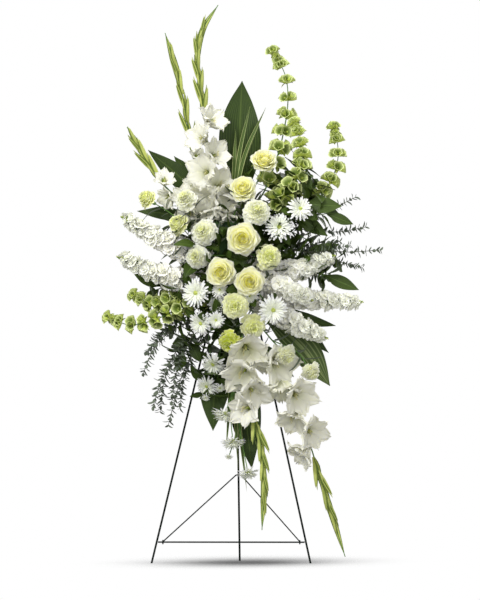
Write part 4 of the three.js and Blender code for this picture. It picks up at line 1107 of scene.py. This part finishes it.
def rose_head(at, direction, half, seed):
    line = on_axis(at, direction, -half, half)
    parts = []
    for k, (low, rim, drop, rise, span, roll, point, count) in enumerate(ROSE_RINGS):
        variants = [rose_petal(half, low, rim * grow, drop, rise + lift, span, roll, point)
                    for grow, lift in ROSE_VARIANTS]
        ring = set_round(line, variants, "rose_petal", seed * 10 + k, count, 0.5, 0.5, turn=0, lean=(0, 0),
                         bunch=count, first_turn=k * 0.55 + seed, wobble=0.05, size_wobble=0.03)
        parts.append(ring.marked(share=k / len(ROSE_RINGS)))
    heart = set_round(line, [rose_heart(half)], "rose_petal", seed, 1, 0.5, 0.5, lean=(0, 0), first_turn=seed,
                      wobble=0.0, size_wobble=0.0)
    hip = lathe(ROSE_HIP, 10, "green_stem", half)
    core = lathe(ROSE_CORE, 20, "rose_petal", half).marked(share=0.9)
    sepal = petal(half * 0.85, half * 0.3, "sepal", bend=(0.1, -1.3), cup=0.3, across=4)
    sepals = set_round(line, [sepal], "bract", seed, 5, 0.14, 0.14, turn=0, lean=(0.35, 0.35), bunch=5,
                       stand=(0.16 * half, 0.16 * half))
    stood = turned_to(at, direction)
    return [*parts, heart.marked(share=1.0), hip.moved(stood), core.moved(stood), sepals.marked(share=0.2)]


def carnation_head(at, direction, half, seed, finish="carnation_petal"):
    line = on_axis(at, direction, -0.5 * half, 0.2 * half)
    variants = [
        petal(
            half * 1.22, half * 1.05, "carnation petal", bend=(0.25, -0.45), cup=0.12, ruffle=0.07, waves=2.6,
            fray=0.09, teeth=11, round_tip=0.1, across=9, along=5, phase=phase,
        ) for phase in (0.0, 2.1, 4.0)
    ]
    petals = set_round(line, variants, finish, seed, CARNATION_PETALS, lean=(-0.02, 1.3), size=(1.0, 0.7),
                       stand=(0.05 * half, 0.0), wobble=0.18)
    cup = lathe(CARNATION_CUP, 10, "green_stem", half)
    core = lathe(CARNATION_CORE, 14, finish, half)
    stood = turned_to(at, direction)
    return [petals, cup.moved(stood), core.marked(share=0.3).moved(stood)]


def daisy_head(at, direction, half, seed):
    variants = petals_like(
        ((1.02, 0.2, (0.05, -0.1)), (1.02, 0.18, (0.05, 0.12)), (1.02, 0.215, (0.05, -0.25))),
        half, half, "daisy ray", cup=0.35, across=4, along=5, thickness=0.4,
    )
    low = on_axis(at, direction, -0.12 * half, 0.1 * half)
    rays = set_round(low, variants, "daisy_ray", seed, DAISY_RAYS, lean=(-0.1, 0.7), size=(1.06, 0.6),
                     stand=(0.1 * half, 0.13 * half), wobble=0.09)
    dome = lathe(DAISY_DOME, 12, "daisy_disc", half)
    floret = lathe(DAISY_FLORET, 4, size=half)
    disc = set_round(on_axis(at, direction, 0.0, 0.15 * half), [floret], "daisy_disc", seed, DAISY_FLORETS,
                     lean=(0.35, 1.5), stand=(0.19 * half, 0.01 * half), wobble=0.1)
    return [rays, dome.moved(turned_to(at, direction)), disc]


def stalked_leaves(
    line, seed, count, start, end, length, width, finish="oval_leaf", lean=0.6, outline="stalked leaf",
    stalk=6,
):
    """Leaves with their stalks on a stem"""
    rod = lathe([(0, 0), (0.8, 0.5), (0.7, stalk), (0, stalk + 3)], 5)
    variants = []
    for grow, turn in ((1.0, -0.5), (0.85, -0.2), (1.1, -0.8)):
        blade = petal(length * grow, width * grow, outline, bend=(0.1, turn), cup=0.25, ruffle=0.02, waves=2,
                      along=8, thickness=0.6, phase=grow * 5)
        variants.append(Shape.joined([rod, blade.moved(Matrix.Translation((0, 0, stalk * MM)))]))
    return set_round(line, variants, finish, seed, count, start, end, lean=(lean, lean), wobble=0.2,
                     size_wobble=0.15)


def bloom_spray(hole, heads, seed, make_head, back_share, leaves):
    """Blooms on one forked stem: the first at its end and the others on side stems"""
    parts, lines, start = [], [], None
    for k, (at, faces, size, *finish) in enumerate(heads):
        at, direction, half = spot(at), unit(faces), size / 2
        back = at - direction * back_share * half * MM
        if start is None:
            line, start = bloom_line(hole, back, direction)
        else:
            nearing = back - direction * 0.4 * np.linalg.norm(back - start)
            line = curve_through([start, nearing, back], 10)
        lines.append(line)
        parts += make_head(at, direction, half, seed + k, *finish)
    parts.append(tubes(lines[:1], "green_stem", 2.3, 1.8))
    if len(lines) > 1:
        parts.append(tubes(lines[1:], "green_stem", 1.7, 1.4))
    for k, line in enumerate(lines):
        if line[0][2] > BARE_BELOW * MM:
            parts.append(stalked_leaves(line, seed + k, **leaves))
    return parts


def rose_parts(hole, heads, seed):
    leaves = dict(count=8, start=0.15, end=0.75, length=56, width=32, lean=0.2, stalk=22)
    return bloom_spray(hole, heads, seed, rose_head, 0.7, leaves)


def carnation_parts(hole, heads, seed):
    leaves = dict(count=8, start=0.2, end=0.8, length=54, width=7, finish="grey_leaf", lean=0.4,
                  outline="carnation leaf")
    return bloom_spray(hole, heads, seed, carnation_head, 0.95, leaves)


def daisy_parts(hole, heads, seed):
    leaves = dict(count=7, start=0.15, end=0.85, length=50, width=28, lean=0.3, stalk=14)
    return bloom_spray(hole, heads, seed, daisy_head, 0.2, leaves)


# Spikes


def gladiolus_floret(seed):
    """Six ruffled petals round a throat, along Z, in the size of an open floret"""
    parts = []
    for k in range(6):
        inner = k % 2
        blade = petal(
            80 - 6 * inner, 50 + 8 * inner, "gladiolus petal", bend=(-0.2 + 0.1 * inner, -1.15), cup=-0.1,
            ruffle=0.1, waves=2.6, across=10, along=10, phase=seed + k * 1.7, point=0.12,
        )
        turn = Matrix.Rotation(k * math.pi / 3, 4, "Z")
        parts.append(blade.moved(turn @ Matrix.Translation((0, -3 * MM, 0))))
    return Shape.joined(parts)


def gladiolus_stamens():
    parts = []
    for k in range(4):
        turn = Matrix.Rotation(0.5 + k * 0.5, 4, "Z") @ Matrix.Rotation(0.22, 4, "X")
        height = 34 + 5 * (k == 3)
        profile = [(0, 4), (0.7, 4), (0.6, height), (1.4, height + 1), (1.5, height + 7), (0, height + 9)]
        parts.append(lathe(profile, 6).moved(turn))
    return Shape.joined(parts)


def gladiolus_bracts(length, width=15):
    """Two sheaths folded over one another, their insides to Y"""
    outer = petal(length, width, "outer sheath", bend=(0.05, 0.1), cup=0.9, along=7, thickness=0.6)
    inner = petal(length * 0.72, width * 0.8, "inner sheath", bend=(0.3, 0.05), cup=0.9, across=4, along=5)
    places = (Matrix.Translation((0, -back * MM, 0)) for back in (4, 1))
    return Shape.joined([sheath.moved(place) for sheath, place in zip((outer, inner), places)])


def gladiolus_parts(hole, path, start, florets, buds, grow, drooping, turned, rank, seed):
    line = stem_line(hole, spot(path), 40)
    open_part = line[1:]
    opened = start + (1 - start) * 0.7 * florets / (florets + buds * 0.55)
    hang = 0.95 if hole[0] == "bottom" else 0.5
    blooms = dict(count=florets, start=start, end=opened, turn=0, first_turn=turned, rank=rank,
                  lean=(hang, 0.5), size=(grow, grow * 0.75), wobble=0.2, size_wobble=0.05, facing=FRONT)
    closed = dict(count=buds, start=opened + 0.04, end=0.83, turn=0, rank=1.1, lean=(1.28, 1.47),
                  size=(1.2, 0.9), wobble=0.04, facing=FRONT)
    foot = dict(count=drooping, start=0.05, end=0.13, turn=0, rank=0.6, lean=(-0.6, -0.15),
                size=(grow, grow), wobble=0.15, facing=FRONT)
    flowers = [gladiolus_floret(k) for k in (0.3, 2.0, 4.4)]
    bud = lathe(GLADIOLUS_BUD, 8, lobes=3, wave=0.12)
    tip = [
        leaf_on(open_part[29:], facing, width, "tip sheath", across=6, fold=-0.8, thickness=0.6)
        .but(finish="bract").marked(share=1.0, tone=tone)
        for facing, width, tone in (((0.9, -1, 0), 14, 0.1), ((-0.9, -1, 0), 15, 0.9), ((0, -1, 0), 9, 0.5))
    ]
    return [
        *([set_round(open_part, flowers, "gladiolus_petal", seed + 3, **foot)] if drooping else []),
        *tip,
        tubes([line], "green_stem", 3.2, 1.2),
        set_round(open_part, flowers, "gladiolus_petal", seed, **blooms),
        set_round(open_part, [gladiolus_stamens()], "anther", seed, **blooms),
        set_round(open_part, [gladiolus_bracts(40)], "bract", seed, **{**blooms, "size": (1.0, 0.9)}),
        set_round(open_part, [gladiolus_bracts(76)], "bract", seed, **closed),
        set_round(open_part, [bud], "bract", seed, **closed),
    ]


def bells_parts(hole, path, seed):
    """Whorls of shell-like cups with scalloped rims and small pale lips inside, and leaves under them"""
    sizes = bpy.context.scene.spray_sizes
    whorls, each = sizes.bell_whorls, sizes.bell_cups
    line = stem_line(hole, spot(path), 40)
    open_part = line[1:]
    cups = dict(count=whorls * each, bunch=each, start=0.25, end=0.985, turn=math.pi / each, lean=(0.3, 0.7),
                size=(1.65, 1.0), wobble=0.32, size_wobble=0.1, stand=(3, 1.5), facing=FRONT)
    tip = dict(count=BELL_TIP_CUPS, start=0.9, end=1.0, lean=(0.4, 1.2), size=(1.0, 0.5), facing=FRONT)
    under = {**cups, "count": whorls * 3, "bunch": 3, "lean": (-0.2, 0.3)}
    cup = lathe(BELL_CUP, 10, lobes=5, wave=0.07)
    lips = lathe(BELL_LIPS, 6, lobes=2, wave=0.3)
    leaf = petal(17, 9, "bell leaf", bend=(0.0, -0.9), cup=0.3, across=4, along=4)
    return [
        tubes([line], "green_stem", 2.6, 1.0),
        set_round(open_part, [cup], "bell_cup", seed, **cups),
        set_round(open_part, [cup], "bell_cup", seed + 2, **tip),
        set_round(open_part, [lips], "bract", seed, **cups),
        set_round(open_part, [leaf], "bract", seed + 1, **under),
    ]


def stock_floret(seed):
    """A double ruffled floret along Z"""
    parts = []
    for ring, (count, lean, size) in enumerate(((5, 0.15, 20), (4, 0.6, 16), (3, 1.1, 11.5))):
        for k in range(count):
            blade = petal(size, size * 0.95, "stock petal", bend=(0.0, -0.35), ruffle=0.09, waves=1.6,
                          round_tip=0.15, across=3, along=3, phase=seed + k * 2.2 + ring)
            turn = Matrix.Rotation(k * 2 * math.pi / count + ring * 0.7 + seed, 4, "Z")
            tilt = Matrix.Rotation(math.pi / 2 - lean, 4, "X")
            parts.append(blade.moved(turn @ tilt @ Matrix.Rotation(math.pi, 4, "Z")))
    return Shape.joined(parts)


def stock_parts(hole, path, seed):
    florets = bpy.context.scene.spray_sizes.stock_florets
    line = stem_line(hole, spot(path), 30)
    open_part = line[1:]
    cup, bud = lathe(STOCK_CUP, 6), lathe(STOCK_BUD, 6)
    blooms = dict(count=florets, start=0.06, end=0.95, lean=(0.1, 0.8), size=(1.45, 0.9), stand=(25, 9),
                  wobble=0.4, size_wobble=0.22, facing=FRONT)
    closed = dict(count=STOCK_BUDS, start=0.92, end=0.995, lean=(0.6, 1.3), size=(1, 0.6), facing=FRONT)
    return [
        tubes([line], "green_stem", 3.0, 1.4),
        set_round(open_part, [stock_floret(k) for k in (0.2, 1.9, 3.7)], "stock_petal", seed, **blooms),
        set_round(open_part, [cup], "green_stem", seed, **blooms),
        set_round(open_part, [bud], "bract", seed, **closed),
        stalked_leaves(open_part, seed, 7, 0.05, 0.4, 58, 13, "grey_leaf", 0.45, "stock leaf"),
    ]


# Leaves


def eucalyptus_parts(hole, branches, pairs, length, seed):
    lines, parts = forked_stem(hole, branches, (30, 5, 26), "grey_twig", (2.2, 0.8), (1.5, 0.7))
    variants = petals_like(
        ((1.0, 1.0, (0.0, -0.3)), (0.85, 0.85, (0.0, 0.2)), (1.1, 1.1, (0.0, -0.6))),
        length, EUCALYPTUS_LEAF_WIDTH, "eucalyptus leaf", cup=0.2, across=4, along=4, thickness=0.6,
    )
    paired = dict(count=2 * pairs, bunch=2, start=0.25, end=0.99, turn=1.07, first_turn=0.5, lean=(0.25, 0.7),
                  size=(1.28, 0.86), wobble=0.3, size_wobble=0.15, facing=FRONT)
    for k, line in enumerate(lines):
        parts.append(set_round(line, variants, "grey_leaf", seed + k, **paired))
    return parts


def broad_leaf_parts(hole, place, leaves, seed):
    first = spot(place)
    short = [first, first + (spot(leaves[0][0][0]) - first) * 0.1]
    parting = stem_line(hole, short, 3)[-2]
    parts = [tubes([stem_line(hole, short, 12)], "green_stem", 2.3, 1.6)]
    for k, (path, width, faces, *finish) in enumerate(leaves):
        curve = curve_through([parting, *spot(path)], 44)
        blade = leaf_on(curve, faces, width, "broad leaf", across=14, fold=0.13, wave=3.0, waves=2.5,
                        curl=0.1, thickness=0.9, phase=width + k)
        parts.append(blade.but(finish=[*finish, "broad_leaf"][0]).marked(tone=(width * 7 + k * 3) % 10 / 10))
    return parts


def oval_leaf_on(places, start, tip, width, faces, seed):
    """An oval leaf with its short stalk, from the one of the places that is nearest its start"""
    start = places[np.argmin(np.linalg.norm(places - start, axis=1))]
    middle = (start + tip) / 2 + FRONT * 4 * MM
    curve = curve_through([start, middle, tip], 18)
    blade = leaf_on(curve, faces, width, "oval leaf", fold=0.16, wave=1.2, waves=2.0, curl=0.12, phase=seed)
    return blade.but(finish="oval_leaf").marked(tone=seed * 0.37 % 1)


def salal_parts(hole, branches, leaves, seed):
    lines, parts = forked_stem(hole, branches, (24, 4, 20), "green_stem", (2.3, 1.3), (1.6, 1.1))
    for k, (start, tip, width, faces) in enumerate(leaves):
        parts.append(oval_leaf_on(np.vstack(lines), spot(start), spot(tip), width, faces, seed + k * 1.3))
    for k, line in enumerate(lines):
        leaf_count = int(np.linalg.norm(np.diff(line, axis=0), axis=1).sum() / (9 * MM))
        parts.append(stalked_leaves(line, seed + k, leaf_count, 0.1, 0.98, 60, 35, lean=0.4))
    return parts


def grass_parts(hole, tips, width, seed):
    mouth, out, inner = hole_at(hole)
    root = mouth + out * 16 * MM
    parts = [tubes([np.array([inner, mouth, root])], "green_stem", 2.4, 2.0)]
    for k, end in enumerate(spot(tips)):
        rise = root + out * 0.5 * np.linalg.norm(end - root)
        middle = rise * 0.4 + (root + (end - root) * 0.55) * 0.6
        curve = curve_through([root, middle, end], 30)
        blade = leaf_on(curve, FRONT, width, "grass blade", across=6, fold=0.3, wave=0.6, thickness=0.6,
                        phase=k * 2.0)
        parts.append(blade.but(finish="grass_blade").marked(tone=k * 0.31 % 1))
    return parts


# Pieces and stage


def piece(name, parts):
    """Joins parts into one object that rides on the flowers' body and stands for its CAD node"""
    made = bpy.data.objects.new(name, Shape.joined(parts).to_mesh(name))
    bpy.context.scene.collection.objects.link(made)
    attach(made, FLOWERS_BODY)
    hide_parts(name)


def make_rows(rows, make):
    """One piece for each row of a table"""
    for number, (name, row) in enumerate(rows.items(), start=1):
        piece(name, make(*row, seed=number * 7))
    return {"FINISHED"}


def dress_easel():
    """The easel, foam and cage keep their CAD shapes and get finishes"""
    finishes = {"foam_cage": "cage_plastic", "floral_foam": "wet_foam"}
    for name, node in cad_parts.items():
        finish = "wire_coat" if name.startswith("easel_") else finishes.get(name)
        for slot in node.material_slots if finish else ():
            slot.material = bpy.data.materials[OWN + finish]


def make_floor():
    """A pale floor that fades out at its rim, with a shadow painted dark into its grey under the easel"""
    angle = np.arange(FLOOR_SIDES) / FLOOR_SIDES * 2 * math.pi
    around = np.stack([np.cos(angle), np.sin(angle), np.zeros(FLOOR_SIDES)], axis=1)
    points = np.vstack([radius * around for radius in FLOOR_RINGS]) - (0, 0, 0.5 * MM)
    here, there = np.arange(FLOOR_SIDES), np.roll(np.arange(FLOOR_SIDES), -1)
    faces = [tuple(range(FLOOR_SIDES))]
    for ring in (0, FLOOR_SIDES):
        further = ring + FLOOR_SIDES
        faces += np.stack([further + here, further + there, ring + there, ring + here], axis=1).tolist()
    mesh = bpy.data.meshes.new("floor")
    mesh.from_pydata(points.tolist(), [], faces)
    floor = bpy.data.objects.new("floor", mesh)
    bpy.context.scene.collection.objects.link(floor)
    finish = Finish("floor", {"Roughness": 0.9})
    oval = finish.vector("MULTIPLY", finish.place(), (1.0, FLOOR_STRETCH, 1.0))
    distance = finish.vector("LENGTH", oval, output="Value")
    # near is the dark grey of the shadow painted under the easel, far is the floor's own pale grey
    near, far = ((grey, grey, grey) for grey in FLOOR_PAINTED_SHADOW_AND_GREY)
    finish.paint(finish.mixed(finish.step(distance, 0.0, FLOOR_FADE[1]), near, far))
    mixed = finish.node("ShaderNodeMixShader", inputs={
        0: finish.step(distance, *FLOOR_FADE),
        1: Value(finish, finish.shader.outputs[0]),
        2: finish.node("ShaderNodeBsdfTransparent"),
    })
    finish.group.links.new(mixed.socket, finish.known("OUTPUT_MATERIAL").inputs["Surface"])
    mesh.materials.append(finish.material)


def make_light(key_power):
    """White surroundings and the four lamps"""
    scene = bpy.context.scene
    scene.world = bpy.data.worlds.new("studio")
    scene.world.use_nodes = True
    tree = Tree(scene.world.node_tree)
    background = tree.known("BACKGROUND")
    background.inputs["Color"].default_value = (1, 1, 1, 1)
    seen = tree.node("ShaderNodeLightPath", output="Is Camera Ray")
    tree.group.links.new((WORLD_LIGHT + seen * (1 - WORLD_LIGHT)).socket, background.inputs["Strength"])
    for name, (place, target, size, share) in LAMPS.items():
        light = bpy.data.lights.new(name, "AREA")
        light.size = size
        light.energy = key_power * share
        lamp = bpy.data.objects.new(name, light)
        lamp.location = place
        lamp.rotation_euler = (Vector(target) - Vector(place)).to_track_quat("-Z", "Y").to_euler()
        scene.collection.objects.link(lamp)


def make_camera(turn, rise, height):
    scene = bpy.context.scene
    camera = bpy.data.objects.new("camera", bpy.data.cameras.new("camera"))
    scene.collection.objects.link(camera)
    camera.data.type = "ORTHO"
    camera.data.ortho_scale = height
    back = Vector((math.sin(turn) * math.cos(rise), -math.cos(turn) * math.cos(rise), math.sin(rise)))
    camera.location = Vector(spot(LOOK_AT)) + back * CAMERA_DISTANCE
    camera.rotation_euler = (-back).to_track_quat("-Z", "Y").to_euler()
    scene.camera = camera
    scene.view_settings.view_transform = "Standard"


# Add-on


def colour(name, description, default):
    shared = {"subtype": "COLOR", "min": 0, "max": 1}
    return FloatVectorProperty(name=name, description=description, default=default, **shared)


class SprayColours(bpy.types.PropertyGroup):
    """Colours of the flowers, leaves and easel"""

    rose_heart: colour("Rose heart", "Inner petals of the roses", srgb(255, 250, 120))
    rose_edge: colour("Rose petal", "Outer petals of the roses", srgb(252, 250, 178))
    carnation_heart: colour("Carnation heart", "Depth of the carnations", srgb(240, 243, 178))
    carnation_edge: colour("Carnation edge", "Frayed rims of the carnations", srgb(255, 255, 242))
    white: colour("White petal", "Rays of the daisies", srgb(253, 253, 250))
    gladiolus: colour("Gladiolus", "Petals of the gladioli", srgb(231, 230, 214))
    gladiolus_throat: colour("Gladiolus throat", "Base of the gladiolus petals", srgb(204, 208, 158))
    stock: colour("Stock", "Florets of the stocks", srgb(255, 253, 244))
    bell: colour("Bells", "Cups of the bells of Ireland", srgb(216, 231, 104))
    bract: colour("Sheath", "Green sheaths of the gladiolus buds", srgb(206, 214, 112))
    broad_leaf: colour("Broad leaf", "Aspidistra leaves", srgb(52, 73, 18))
    oval_leaf: colour("Oval leaf", "Salal and rose leaves", srgb(74, 94, 34))
    eucalyptus: colour("Grey leaf", "Eucalyptus and stock leaves", srgb(130, 140, 120))
    wire: colour("Wire", "Coating of the easel's wire", srgb(22, 32, 26))


class SpraySizes(bpy.types.PropertyGroup):
    """How many florets each spike carries"""

    stock_florets: IntProperty(name="Stock florets", description="Open florets on a stock",
                               default=62, min=8, max=80)
    bell_whorls: IntProperty(name="Bell whorls", description="Whorls of cups on a stem",
                             default=9, min=4, max=16)
    bell_cups: IntProperty(name="Cups in a whorl", description="Cups round the stem", default=6, min=3, max=8)


class StageSizes(bpy.types.PropertyGroup):
    """Camera and light"""

    azimuth: FloatProperty(name="Azimuth", description="Camera's turn to the right", subtype="ANGLE",
                           default=math.radians(3.4))
    elevation: FloatProperty(name="Elevation", description="Camera's height angle", subtype="ANGLE",
                             default=math.radians(1.0))
    view_height: FloatProperty(name="View height", description="Height that the camera sees", unit="LENGTH",
                               default=1.68)
    key_power: FloatProperty(name="Key light", description="Power of the key light", unit="POWER",
                             default=292.0)


class SPRAY_OT_finishes(bpy.types.Operator):
    """Mix the materials of petals, leaves, stems and wire"""

    bl_idname = "spray.finishes"
    bl_label = "Finishes"

    def execute(self, context):
        make_finishes()
        return {"FINISHED"}


class SPRAY_OT_easel(bpy.types.Operator):
    """Finish the easel's wires, the foam and its cage"""

    bl_idname = "spray.easel"
    bl_label = "Easel and foam"

    def execute(self, context):
        dress_easel()
        return {"FINISHED"}


class SPRAY_OT_roses(bpy.types.Operator):
    """Make the roses"""

    bl_idname = "spray.roses"
    bl_label = "Roses"

    def execute(self, context):
        return make_rows(ROSES, rose_parts)


class SPRAY_OT_carnations(bpy.types.Operator):
    """Make the carnations"""

    bl_idname = "spray.carnations"
    bl_label = "Carnations"

    def execute(self, context):
        return make_rows(CARNATIONS, carnation_parts)


class SPRAY_OT_daisies(bpy.types.Operator):
    """Make the daisy chrysanthemums"""

    bl_idname = "spray.daisies"
    bl_label = "Daisies"

    def execute(self, context):
        return make_rows(DAISIES, daisy_parts)


class SPRAY_OT_gladioli(bpy.types.Operator):
    """Make the gladiolus spikes"""

    bl_idname = "spray.gladioli"
    bl_label = "Gladioli"

    def execute(self, context):
        return make_rows(GLADIOLI, gladiolus_parts)


class SPRAY_OT_bells(bpy.types.Operator):
    """Make the bells of Ireland"""

    bl_idname = "spray.bells"
    bl_label = "Bells of Ireland"

    def execute(self, context):
        return make_rows(BELLS, bells_parts)


class SPRAY_OT_stocks(bpy.types.Operator):
    """Make the stocks"""

    bl_idname = "spray.stocks"
    bl_label = "Stocks"

    def execute(self, context):
        return make_rows(STOCKS, stock_parts)


class SPRAY_OT_greenery(bpy.types.Operator):
    """Make the eucalyptus, aspidistra, salal and lily grass"""

    bl_idname = "spray.greenery"
    bl_label = "Greenery"

    def execute(self, context):
        make_rows(EUCALYPTUS, eucalyptus_parts)
        make_rows(BROAD_LEAVES, broad_leaf_parts)
        make_rows(SALAL, salal_parts)
        return make_rows(GRASSES, grass_parts)


class SPRAY_OT_stage(bpy.types.Operator):
    """Set up the floor, light and camera"""

    bl_idname = "spray.stage"
    bl_label = "Stage"

    def execute(self, context):
        sizes = context.scene.spray_stage
        make_floor()
        make_light(sizes.key_power)
        make_camera(sizes.azimuth, sizes.elevation, sizes.view_height)
        return {"FINISHED"}


class SPRAY_PT_panel(bpy.types.Panel):
    """Steps and settings of the spray"""

    bl_label = "Standing spray"
    bl_space_type = "VIEW_3D"
    bl_region_type = "UI"
    bl_category = "Spray"

    def draw(self, context):
        for step in STEPS:
            self.layout.operator(step.bl_idname)
        for group in (context.scene.spray_colours, context.scene.spray_sizes, context.scene.spray_stage):
            box = self.layout.box()
            for name in group.__annotations__:
                box.prop(group, name)


GROUPS = {"spray_colours": SprayColours, "spray_sizes": SpraySizes, "spray_stage": StageSizes}
STEPS = (
    SPRAY_OT_finishes, SPRAY_OT_easel, SPRAY_OT_roses, SPRAY_OT_carnations, SPRAY_OT_daisies,
    SPRAY_OT_gladioli, SPRAY_OT_bells, SPRAY_OT_stocks, SPRAY_OT_greenery, SPRAY_OT_stage,
)


def register():
    for cls in (*GROUPS.values(), *STEPS, SPRAY_PT_panel):
        bpy.utils.register_class(cls)
    for name, group in GROUPS.items():
        setattr(bpy.types.Scene, name, PointerProperty(type=group))


def unregister():
    for name in GROUPS:
        delattr(bpy.types.Scene, name)
    for cls in (SPRAY_PT_panel, *reversed(STEPS), *reversed(GROUPS.values())):
        bpy.utils.unregister_class(cls)


def main():
    register()
    for step in STEPS:
        group, name = step.bl_idname.split(".")
        getattr(getattr(bpy.ops, group), name)()


if __name__ == "__main__":
    main()
